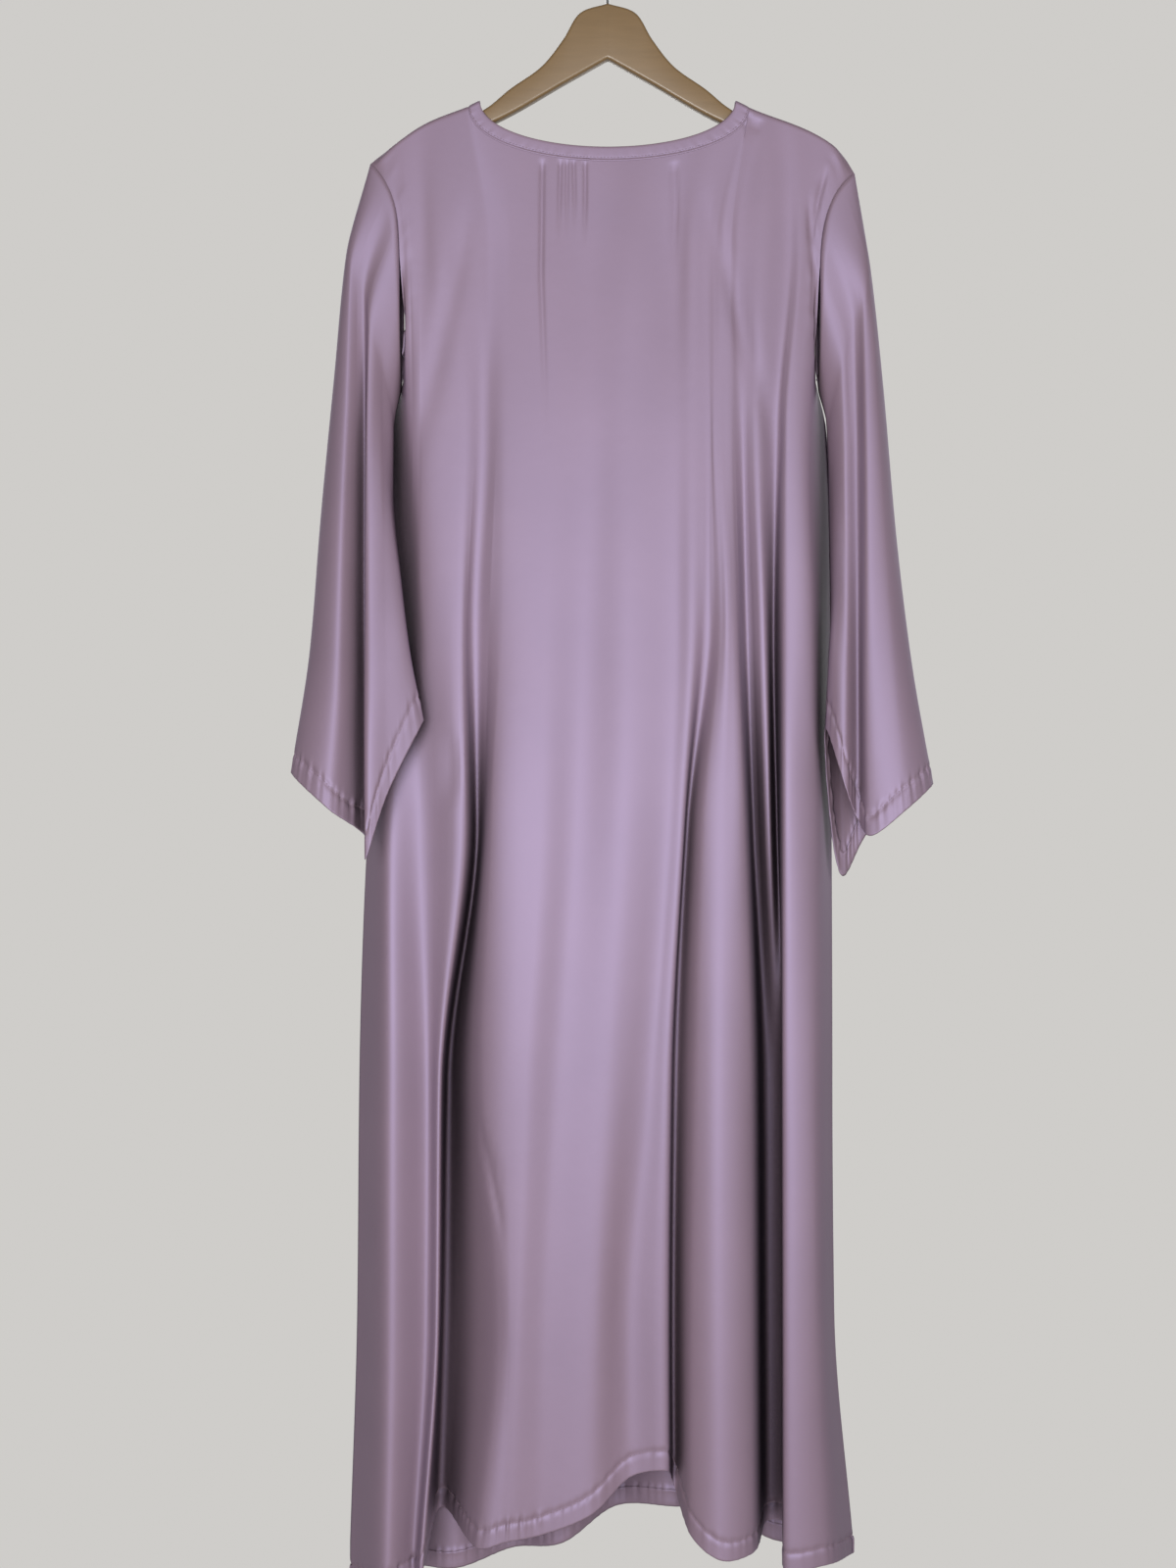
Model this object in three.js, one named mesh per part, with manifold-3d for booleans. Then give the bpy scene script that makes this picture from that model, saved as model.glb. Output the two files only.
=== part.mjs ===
// A long-sleeved satin abaya hanging on a flat wooden hanger with a wire hook.
// Millimetres, +Z up, +X to the right of the garment as seen from the front, which faces -Y.
// The origin is the inside top of the hook, where a rod or wall hook carries it.
import * as THREE from 'three';
import { mergeVertices } from 'three/addons/utils/BufferGeometryUtils.js';
import Module from 'manifold-3d';

// Cloth and seams
const WALL = 1.5;
const HEM_WALL = 2.2;
const BAND_WALL = 1.9;
const SEAM_GAP = 0.3;

// Neck opening and its band
const NECK_HALF = 120;
const NECK_DROP = 46;
const NECK_TOP = -163;
const BAND_WIDTH = 11;
const NECK_BULGE = 12;
const NECK_ROUNDNESS = 0.92;

// Shoulder line: neck point of the panels, a point on the way, and the tip, as [x, z]
const SHOULDER = {
  left: { neck: [-130, -168], middle: [-170, -184], tip: [-223, -222] },
  right: { neck: [132, -169], middle: [212, -205], tip: [232, -231] },
};
const SHOULDER_ROLL = 9.2;
const ROLL_DROP = 5;
const ROLL_END = 12;

// Armhole, from the underarm to the shoulder tip
const UNDERARM = { left: [-192, 5, -426], right: [196, 5, -426] };
const ARMHOLE_HOLLOW = 28;
const ARMHOLE_FRONT = 17;
const ARMHOLE_BACK = 20;
const ARMHOLE_ROUNDNESS = 0.7;
const UNDERARM_EASE = 4;

// Hanger and hook
const HANGER_THICKNESS = 12;
const HANGER_TOP = -72;
const HANGER_ROUND = 3;
const HANGER_UPPER = table(['x', 'z'], [
  [0, HANGER_TOP], [26, -81], [42, -106], [62, -131], [92, -152.5], [112, -169],
  [131, -179.5], [150, -182.6], [168, -189], [190, -201.5], [200, -209.5], [205, -218],
]);
const HANGER_UNDER = table(['x', 'z'], [
  [205, -218], [195, -223], [162, -206], [99, -180], [40, -146.5], [0, -124],
]);
const UPPER_STEPS = 26;
const UNDER_STEPS = 14;
const WIRE = 3.5;
const HOOK_INSIDE = 17;
const STEM_DEPTH = 22;
const STEM = table(['x', 'z'], [
  [0, HANGER_TOP - STEM_DEPTH + SEAM_GAP], [0, HANGER_TOP], [0, -52], [3.5, -42],
]);
const HOOK_TURN = { from: -40, to: 190, step: 23 };
const HOOK_STEPS = 32;

// Heights of the body's named levels
const BODY_LEVELS = {
  yoke: -300, bust: -470, waist: -650, hip: -840, knee: -1080, shin: -1300, hem: -1520,
};

// Fold lines of the body, all round. Each row: the place of its top end on the panel's upper
// edge (1 left shoulder tip, 2 and 3 the neck points, 4 right shoulder tip), how many strips
// of wall lead to the next fold, the [x, y] that it passes at each level, and the height of the
// hem under it. The side seams run up into the armholes.
const FRONT_FOLDS = table(
  ['fold', 'edge', 'strips', 'yoke', 'bust', 'waist', 'hip', 'knee', 'shin', 'hem', 'end'],
  [
    ['left side seam', 1, 2, null, [-206, 20], [-205, 20], [-226, 10], [-234, 8],
     [-236, 8], [-243, 10], -1556],
    ['left roll crest', 1.3, 2, [-187, -14], [-184, -12], [-190, 2], [-202, -32],
     [-199, -46], [-199, -48], [-202, -50], -1540],
    ['left inner pleat', 1.5, 2, [-173, -12], [-172, -19], [-171, -22],
     [-172, -26], [-167, -27], [-168, -28], [-180, -32], -1535],
    ['left roll edge', 1.66, 2, [-157, -15], [-137, -24], [-138, -33], [-134, -44],
     [-155, -38], [-157, -40], [-171, -46], -1528],
    ['left gore valley', 2, 4, [-113, -13], [-112, -21], [-121, -24], [-121, -16],
     [-149, 10], [-152, 12], [-159, 12], -1486],
    ['centre panel left edge', 2.22, 2, [-92, -15], [-94, -26], [-96, -36],
     [-106, -46], [-113, -48], [-100, -52], [-120, -56], -1500],
    ['centre left crest', 2.35, 2, [-56, -16], [-55, -28], [-58, -40], [-62, -54],
     [-77, -60], [-84, -60], [-94, -62], -1492],
    ['centre soft valley', 2.45, 2, [-18, -14], [-16, -25], [-21, -35], [-29, -47],
     [-46, -54], [-58, -56], [-62, -58], -1487],
    ['centre right crest', 2.56, 2, [23, -17], [18, -28], [18, -41], [14, -54],
     [0, -58], [-12, -60], [-16, -62], -1467],
    ['thin centre valley', 2.67, 2, [64, -13], [62, -25], [62, -36], [54, -47],
     [37, -50], [20, -48], [22, -48], -1437],
    ['small ridge', 2.72, 2, [77, -16], [77, -27], [77, -40], [68, -49], [55, -53],
     [52, -55], [53, -57], -1429],
    ['shaded face', 2.78, 2, [90, -15], [92, -26], [91, -35], [73, -33], [62, -32],
     [60, -30], [61, -29], -1450],
    ['right panel left edge', 2.86, 2, [100, -16], [99, -28], [104, -42],
     [88, -52], [81, -57], [77, -60], [76, -62], -1488],
    ['right panel crest', 2.93, 2, [108, -17], [107, -28], [111, -44], [108, -56],
     [104, -64], [102, -70], [102, -74], -1504],
    ['right panel right edge', 3, 2, [115, -16], [114, -27], [118, -40],
     [124, -50], [130, -50], [130, -56], [131, -60], -1503],
    ['right gore valley', 3.12, 2, [122, -14], [125, -22], [129, -22], [137, -4],
     [149, 12], [151, 15], [152, 15], -1500],
    ['sliver ridge', 3.2, 2, [144, -17], [138, -27], [143, -34], [149, -26],
     [158, 10], [160, 12], [161, 12], -1498],
    ['narrow valley', 3.34, 2, [167, -12], [156, -18], [154, -14], [158, -10],
     [166, -4], [168, -2], [169, -2], -1500],
    ['right roll edge', 3.48, 2, [180, -15], [167, -26], [164, -34], [162, -48],
     [161, -50], [161, -54], [161, -56], -1520],
    ['right roll crest', 3.7, 2, [190, -14], [184, -20], [186, -30], [190, -36],
     [188, -46], [190, -50], [200, -50], -1517],
    ['right side seam', 4, 2, null, [208, 21], [214, 24], [212, 14], [212, 8],
     [214, 10], [233, 20], -1533],
  ],
);
const BACK_FOLDS = table(
  ['fold', 'edge', 'strips', 'yoke', 'bust', 'waist', 'hip', 'knee', 'shin', 'hem', 'end'],
  [
    ['right back roll', 3.7, 2, [190, 17], [183, 26], [188, 36], [194, 36],
     [197, 40], [202, 42], [215, 48], -1536],
    ['right back valley', 3.4, 2, [160, 15], [155, 27], [152, 30], [150, 30],
     [150, 31], [152, 31], [158, 32], -1524],
    ['right back crest', 3, 4, [118, 17], [112, 31], [108, 40], [106, 47],
     [107, 54], [110, 58], [112, 62], -1508],
    ['right centre valley', 2.74, 2, [78, 16], [70, 27], [62, 31], [58, 32],
     [58, 33], [60, 33], [62, 34], -1493],
    ['centre back crest', 2.55, 2, [25, 17], [22, 32], [18, 42], [14, 50],
     [10, 58], [8, 62], [8, 66], -1504],
    ['left centre valley', 2.42, 2, [-25, 16], [-28, 27], [-31, 31], [-35, 32],
     [-39, 33], [-41, 33], [-43, 34], -1528],
    ['left back crest', 2.25, 4, [-80, 17], [-80, 31], [-85, 41], [-89, 49],
     [-91, 57], [-92, 61], [-92, 65], -1544],
    ['left back valley', 2, 2, [-118, 16], [-116, 28], [-125, 32], [-135, 32],
     [-141, 33], [-143, 33], [-145, 34], -1552],
    ['left back roll', 1.6, 2, [-160, 17], [-156, 30], [-165, 39], [-181, 43],
     [-187, 47], [-189, 49], [-195, 52], -1555],
    ['left back turn', 1.3, 2, [-187, 17], [-182, 24], [-193, 35], [-215, 33],
     [-221, 35], [-225, 35], [-233, 37], -1558],
  ],
);

// Fold lines of the sleeves, round each tube from the underarm by the front. Each row: the
// station of the armhole seam that it starts from (0 underarm, 9 shoulder tip, 18 underarm
// again by the back), the [x, y] that it passes at each share of the sleeve's length, and the
// height of the sleeve's hem under it.
const SLEEVE_LEVELS = { cap: 0.15, biceps: 0.35, elbow: 0.6, forearm: 0.8, cuff: 1 };
const SLEEVE_FOLDS = {
  left: table(
    ['fold', 'station', 'cap', 'biceps', 'elbow', 'forearm', 'cuff', 'end'],
    [
      ['underarm', 0, [-200, -7], [-200, -14], [-191, -27], [-182, -40], [-169, -46], -745],
      ['inner panel crest', 3, [-211, -17], [-209, -30], [-206, -46], [-203, -60], [-199, -68], -810],
      ['fold edge', 5, [-222, -19], [-223, -33], [-222, -50], [-221, -66], [-219, -80], -871],
      ['fold valley', 6, [-227, -12], [-226, -16], [-225, -28], [-223, -42], [-221, -56], -851],
      ['outer panel crest', 7, [-240, -14], [-242, -25], [-245, -46], [-246, -64], [-252, -84], -825],
      ['outer edge', 9, [-245, 0], [-256, -5], [-268, -16], [-275, -32], [-290, -50], -792],
      ['back outer', 11, [-238, 12], [-248, 12], [-258, 5], [-264, -10], [-276, -27], -795],
      ['back middle', 14, [-220, 14], [-222, 18], [-226, 11], [-228, -5], [-230, -21], -800],
      ['back inner', 16, [-206, 8], [-205, 10], [-201, 2], [-194, -13], [-186, -27], -770],
    ],
  ),
  right: table(
    ['fold', 'station', 'cap', 'biceps', 'elbow', 'forearm', 'cuff', 'end'],
    [
      ['underarm', 0, [206, -7], [208, -13], [208, -24], [204, -34], [200, -36], -752],
      ['inner panel crest', 3, [217, -17], [219, -26], [219, -38], [217, -48], [215, -58], -803],
      ['fold valley', 5, [229, -14], [232, -21], [231, -33], [230, -41], [229, -49], -837],
      ['fold edge', 6, [238, -18], [238, -30], [237, -46], [236, -56], [237, -66], -850],
      ['outer panel crest', 7, [244, -12], [250, -24], [256, -40], [262, -54], [270, -70], -826],
      ['outer edge', 9, [246, 0], [258, -4], [269, -14], [281, -26], [299, -38], -803],
      ['back outer', 11, [240, 13], [250, 14], [259, 8], [268, 0], [282, -10], -815],
      ['back middle', 14, [224, 15], [230, 18], [236, 14], [240, 10], [244, 4], -850],
      ['back inner', 16, [212, 8], [214, 9], [216, 4], [218, 0], [219, -9], -889],
    ],
  ),
};

// The least height between two points that a column passes
const LEVEL_SPACING = 30;

// Rows of wall down a panel and a sleeve
const UPPER_ROWS = 7;
const LOWER_ROWS = 18;
const SLEEVE_ROWS = 18;

const COLOURS = { satin: 0xa08aaa, wood: 0x8b7052, chrome: 0xc8cacc };

// Turns rows of values into rows with named columns.
function table(columns, rows) {
  return rows.map((row) => Object.fromEntries(columns.map((name, i) => [name, row[i]])));
}

function finish(colour, roughness, metalness) {
  return new THREE.MeshStandardMaterial({ color: COLOURS[colour], roughness, metalness });
}

const lerp = THREE.MathUtils.lerp;

// A smooth curve through values at rising knots that never swings past them.
function smoothThrough(knots, values) {
  const last = knots.length - 1;
  const step = [];
  const rise = [];
  for (let i = 0; i < last; i += 1) {
    step.push(knots[i + 1] - knots[i]);
    rise.push((values[i + 1] - values[i]) / step[i]);
  }
  const slope = values.map((value, i) => {
    if (i === 0) return rise[0];
    if (i === last) return rise[last - 1];
    if (rise[i - 1] * rise[i] <= 0) return 0;
    const before = 2 * step[i] + step[i - 1];
    const after = step[i] + 2 * step[i - 1];
    return (before + after) / (before / rise[i - 1] + after / rise[i]);
  });
  return (knot) => {
    let i = 0;
    while (i < last - 1 && knot > knots[i + 1]) i += 1;
    const t = THREE.MathUtils.clamp((knot - knots[i]) / step[i], 0, 1);
    const keep = (1 + 2 * t) * (1 - t) ** 2;
    const reach = t * t * (3 - 2 * t);
    const leave = t * (1 - t) ** 2 * step[i] * slope[i];
    const arrive = t * t * (t - 1) * step[i] * slope[i + 1];
    return keep * values[i] + reach * values[i + 1] + leave + arrive;
  };
}

// Shoulder line of one side: the point at a share of the way from the neck to the tip.
function shoulderPoint(side, share, face) {
  const { neck, middle, tip } = SHOULDER[side];
  const line = [neck, middle, tip];
  const height = smoothThrough(line.map(([x]) => Math.abs(x)), line.map(([, z]) => z));
  const x = lerp(neck[0], tip[0], share);
  return new THREE.Vector3(x, (face * SEAM_GAP) / 2, height(Math.abs(x)));
}

// Armhole seam of one side at a height, on the front or the back.
function armholePoint(side, z, face) {
  const [tipX, tipZ] = SHOULDER[side].tip;
  const [underX, underY, underZ] = UNDERARM[side];
  const drop = tipZ - z;
  const fall = tipZ - underZ;
  const rise = 1 - (drop / fall) ** (2 / 3);
  const hollow = (1 - Math.exp(-drop / ARMHOLE_HOLLOW)) / (1 - Math.exp(-fall / ARMHOLE_HOLLOW));
  const swell = Math.sin(Math.PI * rise) ** ARMHOLE_ROUNDNESS * (face < 0 ? ARMHOLE_FRONT : ARMHOLE_BACK);
  const depth = face * swell + underY * (1 - rise) ** UNDERARM_EASE;
  return new THREE.Vector3(lerp(tipX, underX, hollow), depth, z);
}

// Heights of a panel's rows down to the underarm, close together where the cloth turns over
// the shoulder. On the side seams they are the stations of the armhole.
function upperHeights(top) {
  const heights = [top, top - ROLL_DROP, top - ROLL_END];
  const start = heights.at(-1);
  const underarm = UNDERARM.left[2];
  for (let i = 1; i <= UPPER_ROWS; i += 1) heights.push(lerp(start, underarm, i / UPPER_ROWS));
  return heights;
}

// The stations of one armhole from the shoulder tip down: each has its point, the direction
// to the inside of the wall, and the one across the seam, away from the body.
function armholeStations(side, face) {
  const points = upperHeights(SHOULDER[side].tip[1]).map((z) => armholePoint(side, z, face));
  return points.map((point, i) => {
    const along = points[Math.max(0, i - 1)].clone().sub(points[Math.min(points.length - 1, i + 1)]);
    along.normalize();
    const inside = new THREE.Vector3(0, -face * along.z, face * along.y).normalize();
    if (i === 0) inside.set(0, 0, -1);
    if (i === points.length - 1) inside.set(0, 0, 1);
    const out = new THREE.Vector3().crossVectors(along, inside).normalize();
    if (out.x * SHOULDER[side].tip[0] < 0) out.negate();
    return { point, inside, out };
  });
}

// A station as the body's or the sleeve's edge meets it, half a seam gap off the seam. At the
// underarm both walls start between up and outwards from the seam.
function seamEdge(station, bodyOrSleeve, atUnderarm) {
  const point = station.point.clone().addScaledVector(station.out, (bodyOrSleeve * SEAM_GAP) / 2);
  const inside = station.inside.clone();
  if (atUnderarm) inside.addScaledVector(station.out, bodyOrSleeve).normalize();
  return { point, inside };
}

// A point of the neck, from the left neck point round to the right: turn runs from 0 to 1,
// and out is 0 on the opening's edge and 1 on the band's seam.
function neckPoint(turn, out, face) {
  const angle = Math.PI * turn;
  const sideNeck = turn < 0.5 ? SHOULDER.left.neck : SHOULDER.right.neck;
  const half = lerp(NECK_HALF, Math.abs(sideNeck[0]), out);
  const top = lerp(NECK_TOP, sideNeck[1], out);
  const bottom = NECK_TOP - NECK_DROP - out * BAND_WIDTH;
  const drop = (top - bottom) * Math.sin(angle) ** NECK_ROUNDNESS;
  const roll = Math.sqrt(Math.min(1, drop / ROLL_DROP));
  const depth = SEAM_GAP / 2 + roll * lerp(SHOULDER_ROLL - SEAM_GAP, NECK_BULGE, Math.sin(angle));
  return new THREE.Vector3(-half * Math.cos(angle), face * depth, top - drop);
}

// The upper edge of a panel at an edge place from 1 to 4, with the direction to the inside
// of the wall there, and the point where the cloth has turned over the shoulder.
function panelEdge(edge, face) {
  const side = edge < 2.5 ? 'left' : 'right';
  const away = side === 'left' ? edge : 5 - edge;
  if (away < 2) {
    const point = shoulderPoint(side, 2 - away, face);
    return { point, inside: new THREE.Vector3(0, 0, -1), turns: [rolledOver(point, face)] };
  }
  const point = neckPoint(edge - 2, 1, face);
  const angle = Math.PI * (edge - 2);
  point.x -= SEAM_GAP * Math.cos(angle);
  point.z -= SEAM_GAP * Math.sin(angle);
  const turns = away === 2 ? [rolledOver(point, face)] : [];
  return { point, inside: neckInside(edge - 2, face), turns };
}

// The direction to the inside of the wall along the neck: down at the shoulder seams, and
// towards the hanger between them.
function neckInside(turn, face) {
  return turn === 0 || turn === 1 ? new THREE.Vector3(0, 0, -1) : new THREE.Vector3(0, -face, 0);
}

// Where the cloth has turned over the hanger's edge, below a point of the shoulder seam.
function rolledOver(point, face) {
  return new THREE.Vector3(point.x, face * SHOULDER_ROLL, point.z - ROLL_DROP);
}

// A smooth outline at one level through fold lines; its z is the height of the hem.
function section(folds, level, closed) {
  const points = folds.map((fold) => new THREE.Vector3(...fold[level], fold.end));
  return new THREE.CatmullRomCurve3(points, closed, 'centripetal');
}

// The fold lines of one panel from side seam to side seam.
function panelFolds(face) {
  const seams = [FRONT_FOLDS[0], FRONT_FOLDS.at(-1)].map((seam, i) => {
    const { x, y } = armholePoint(i === 0 ? 'left' : 'right', BODY_LEVELS.yoke, face);
    return { ...seam, yoke: [x, y] };
  });
  if (face < 0) return [seams[0], ...FRONT_FOLDS.slice(1, -1), seams[1]];
  return [seams[1], ...BACK_FOLDS, seams[0]];
}

// Heights of all rows of a panel's column.
function panelHeights(top, end) {
  const heights = upperHeights(top);
  const start = heights.at(-1);
  for (let i = 1; i <= LOWER_ROWS; i += 1) heights.push(lerp(start, end, i / LOWER_ROWS));
  return heights;
}

// A curve down a column: it passes the given points and then the levels that lie lower.
function columnCurve(passed, levels, sections, place) {
  const points = [...passed];
  levels.forEach((level, k) => {
    if (BODY_LEVELS[level] > points.at(-1).z - LEVEL_SPACING) return;
    const { x, y } = sections[k].getPoint(place);
    points.push(new THREE.Vector3(x, y, BODY_LEVELS[level]));
  });
  const knots = points.map(({ z }) => -z);
  const across = smoothThrough(knots, points.map(({ x }) => x));
  const depth = smoothThrough(knots, points.map(({ y }) => y));
  return (z) => new THREE.Vector3(across(-z), depth(-z), z);
}

// A column of a panel between the side seams, from its upper edge to the hem.
function foldColumn(edge, place, face, levels, sections) {
  const { point, inside, turns } = panelEdge(edge, face);
  const curve = columnCurve([point, ...turns], levels, sections, place);
  const end = sections.at(-1).getPoint(place).z;
  return { points: panelHeights(point.z, end).map(curve), insides: [inside] };
}

// The column of a side seam: down the armhole to the underarm, and on to the hem.
function seamColumn(side, face, levels, sections, place) {
  const stations = armholeStations(side, face);
  const last = stations.length - 1;
  const edges = stations.map((station, i) => seamEdge(station, -1, i === last));
  edges[0].point.y += (face * SEAM_GAP) / 2;
  const curve = columnCurve([stations[last].point], levels, sections, place);
  const end = sections.at(-1).getPoint(place).z;
  const lower = panelHeights(stations[0].point.z, end).slice(last + 1).map(curve);
  return {
    points: [...edges.map(({ point }) => point), ...lower],
    insides: edges.map(({ inside }) => inside),
  };
}

// One panel of the body, a grid of points with rows down and columns across.
function bodyGrid(face) {
  const folds = panelFolds(face);
  const levels = Object.keys(BODY_LEVELS);
  const sections = levels.map((level) => section(folds, level, false));
  const sides = face < 0 ? ['left', 'right'] : ['right', 'left'];
  const columns = [];
  folds.slice(0, -1).forEach((fold, i) => {
    for (let k = 0; k < fold.strips; k += 1) {
      const share = k / fold.strips;
      const edge = lerp(fold.edge, folds[i + 1].edge, share);
      const place = (i + share) / (folds.length - 1);
      const onSeam = i + k === 0;
      columns.push(onSeam
        ? seamColumn(sides[0], face, levels, sections, place)
        : foldColumn(edge, place, face, levels, sections));
    }
  });
  columns.push(seamColumn(sides[1], face, levels, sections, 1));
  const grid = columns[0].points.map((_, r) => columns.map((column) => column.points[r]));
  return { grid, inside: (r, c) => columns[c].insides[r] };
}

// A sleeve: a closed ring of columns from the armhole's stations to its hem.
function sleeveGrid(side) {
  const folds = SLEEVE_FOLDS[side];
  const sections = Object.keys(SLEEVE_LEVELS).map((level) => section(folds, level, true));
  const front = armholeStations(side, -1).reverse();
  const back = armholeStations(side, 1);
  const stations = [...front, ...back.slice(1, -1)];
  const knots = [0, ...Object.values(SLEEVE_LEVELS)];
  const columns = stations.map((station, s) => {
    const i = folds.findLastIndex((fold) => fold.station <= s);
    const next = folds[i + 1]?.station ?? stations.length;
    const place = (i + (s - folds[i].station) / (next - folds[i].station)) / folds.length;
    const { point: top, inside } = seamEdge(station, 1, s === 0);
    const places = sections.map((curve) => curve.getPoint(place));
    const across = smoothThrough(knots, [top.x, ...places.map(({ x }) => x)]);
    const depth = smoothThrough(knots, [top.y, ...places.map(({ y }) => y)]);
    const end = places.at(-1).z;
    const points = [];
    for (let r = 0; r <= SLEEVE_ROWS; r += 1) {
      const share = r / SLEEVE_ROWS;
      points.push(new THREE.Vector3(across(share), depth(share), lerp(top.z, end, share)));
    }
    return { points, inside };
  });
  const grid = columns[0].points.map((_, r) => columns.map((column) => column.points[r]));
  return { grid, inside: (r, c) => (r === 0 ? columns[c].inside : undefined) };
}

// The neck's band: its opening edge and its seam, round the front or the back, with the
// columns of the panel that it is sewn to.
function bandGrid(face) {
  const turns = [];
  panelFolds(face).slice(0, -1).forEach((fold, i, folds) => {
    const next = folds[i + 1]?.edge ?? fold.edge;
    for (let k = 0; k < fold.strips; k += 1) turns.push(lerp(fold.edge, next, k / fold.strips) - 2);
  });
  const round = turns.filter((turn) => turn >= 0 && turn <= 1);
  const grid = [0, 0.5, 1].map((out) => round.map((turn) => neckPoint(turn, out, face)));
  return { grid, inside: (r, c) => neckInside(round[c], face) };
}

// The outer and inner points of a wall: its grid is the outer face, and the inner face lies a
// wall's thickness inside it. The directions at open side seams come from the panels that
// meet there, so that both walls end in one plane, half a gap from it.
function wallFaces({ grid, inside }, closed, thickness, flip, beyond) {
  const rows = grid.length;
  const count = grid[0].length;
  const at = (r, c) => {
    const row = grid[Math.min(rows - 1, Math.max(0, r))];
    if (closed) return row[(c + count) % count];
    if (beyond && r > 0 && c < 0) return beyond.grid[r].at(-2);
    if (beyond && r > 0 && c >= count) return beyond.grid[r][1];
    return row[Math.min(count - 1, Math.max(0, c))];
  };
  const outer = [];
  const inner = [];
  for (let r = 0; r < rows; r += 1) {
    outer.push([]);
    inner.push([]);
    for (let c = 0; c < count; c += 1) {
      const across = at(r, c + 1).clone().sub(at(r, c - 1));
      const down = at(r + 1, c).clone().sub(at(r - 1, c));
      const normal = across.clone().cross(down).normalize().multiplyScalar(flip);
      const inward = inside(r, c) ?? normal.negate();
      const point = grid[r][c].clone();
      const onSideSeam = beyond && !inside(r, c) && (c === 0 || c === count - 1);
      if (onSideSeam) point.addScaledVector(across.normalize(), (c === 0 ? 1 : -1) * (SEAM_GAP / 2));
      outer[r].push(point);
      inner[r].push(point.clone().addScaledVector(inward, thickness(r, rows)));
    }
  }
  return { outer, inner };
}

// Closes the two faces of a wall along its edges.
function wallGeometry(shape, closed, thickness, flip, beyond) {
  const faces = wallFaces(shape, closed, thickness, flip, beyond);
  const rows = faces.outer.length;
  const columns = faces.outer[0].length;
  const positions = [...faces.outer.flat(), ...faces.inner.flat()].flatMap((point) => [...point]);
  const outer = (r, c) => r * columns + (c % columns);
  const inner = (r, c) => rows * columns + outer(r, c);
  const index = [];
  const quad = (a, b, c, d) => index.push(...(flip > 0 ? [a, b, c, a, c, d] : [a, c, b, a, d, c]));
  const spans = closed ? columns : columns - 1;
  for (let r = 0; r + 1 < rows; r += 1) {
    for (let c = 0; c < spans; c += 1) {
      quad(outer(r, c), outer(r, c + 1), outer(r + 1, c + 1), outer(r + 1, c));
      quad(inner(r, c), inner(r + 1, c), inner(r + 1, c + 1), inner(r, c + 1));
    }
  }
  for (let c = 0; c < spans; c += 1) {
    quad(outer(0, c), inner(0, c), inner(0, c + 1), outer(0, c + 1));
    quad(outer(rows - 1, c), outer(rows - 1, c + 1), inner(rows - 1, c + 1), inner(rows - 1, c));
  }
  for (let r = 0; !closed && r + 1 < rows; r += 1) {
    quad(outer(r, 0), outer(r + 1, 0), inner(r + 1, 0), inner(r, 0));
    const edge = columns - 1;
    quad(outer(r, edge), inner(r, edge), inner(r + 1, edge), outer(r + 1, edge));
  }
  const geometry = new THREE.BufferGeometry();
  geometry.setAttribute('position', new THREE.Float32BufferAttribute(positions, 3));
  geometry.setIndex(index);
  geometry.computeVertexNormals();
  return geometry;
}

const clothWall = (row, rows) => (row >= rows - 2 ? HEM_WALL : WALL);

function clothMesh(name, shape, closed, thickness, flip, beyond) {
  const geometry = wallGeometry(shape, closed, thickness, flip, beyond);
  const mesh = new THREE.Mesh(geometry, finish('satin', 0.35, 0));
  mesh.name = name;
  return mesh;
}

// The hanger's outline: the right half's upper and under curves, and their mirror images.
function hangerOutline() {
  const upper = curveThrough(HANGER_UPPER, UPPER_STEPS);
  const under = curveThrough(HANGER_UNDER, UNDER_STEPS);
  const right = [...upper, ...under.slice(1)];
  const left = right.slice(1, -1).map((point) => new THREE.Vector2(-point.x, point.y)).reverse();
  return new THREE.Shape([...right, ...left]);
}

// Points at equal steps along a smooth curve through places with x and z.
function curveThrough(places, steps) {
  const points = places.map(({ x, z }) => new THREE.Vector2(x, z));
  return new THREE.SplineCurve(points).getSpacedPoints(steps);
}

// Swaps an extrusion made in the XY plane into the XZ plane, with its middle at y = 0.
function standUp(geometry, thickness) {
  geometry.translate(0, 0, -thickness / 2);
  geometry.rotateX(Math.PI / 2);
  return geometry;
}

function toManifold(wasm, geometry) {
  const bare = geometry.clone();
  bare.deleteAttribute('normal');
  bare.deleteAttribute('uv');
  const merged = mergeVertices(bare, 1e-4);
  return new wasm.Manifold(new wasm.Mesh({
    numProp: 3,
    vertProperties: new Float32Array(merged.attributes.position.array),
    triVerts: new Uint32Array(merged.index.array),
  }));
}

function fromManifold(solid) {
  const { vertProperties, triVerts } = solid.getMesh();
  const geometry = new THREE.BufferGeometry();
  geometry.setAttribute('position', new THREE.Float32BufferAttribute(vertProperties, 3));
  geometry.setIndex([...triVerts]);
  geometry.computeVertexNormals();
  return geometry;
}

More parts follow.
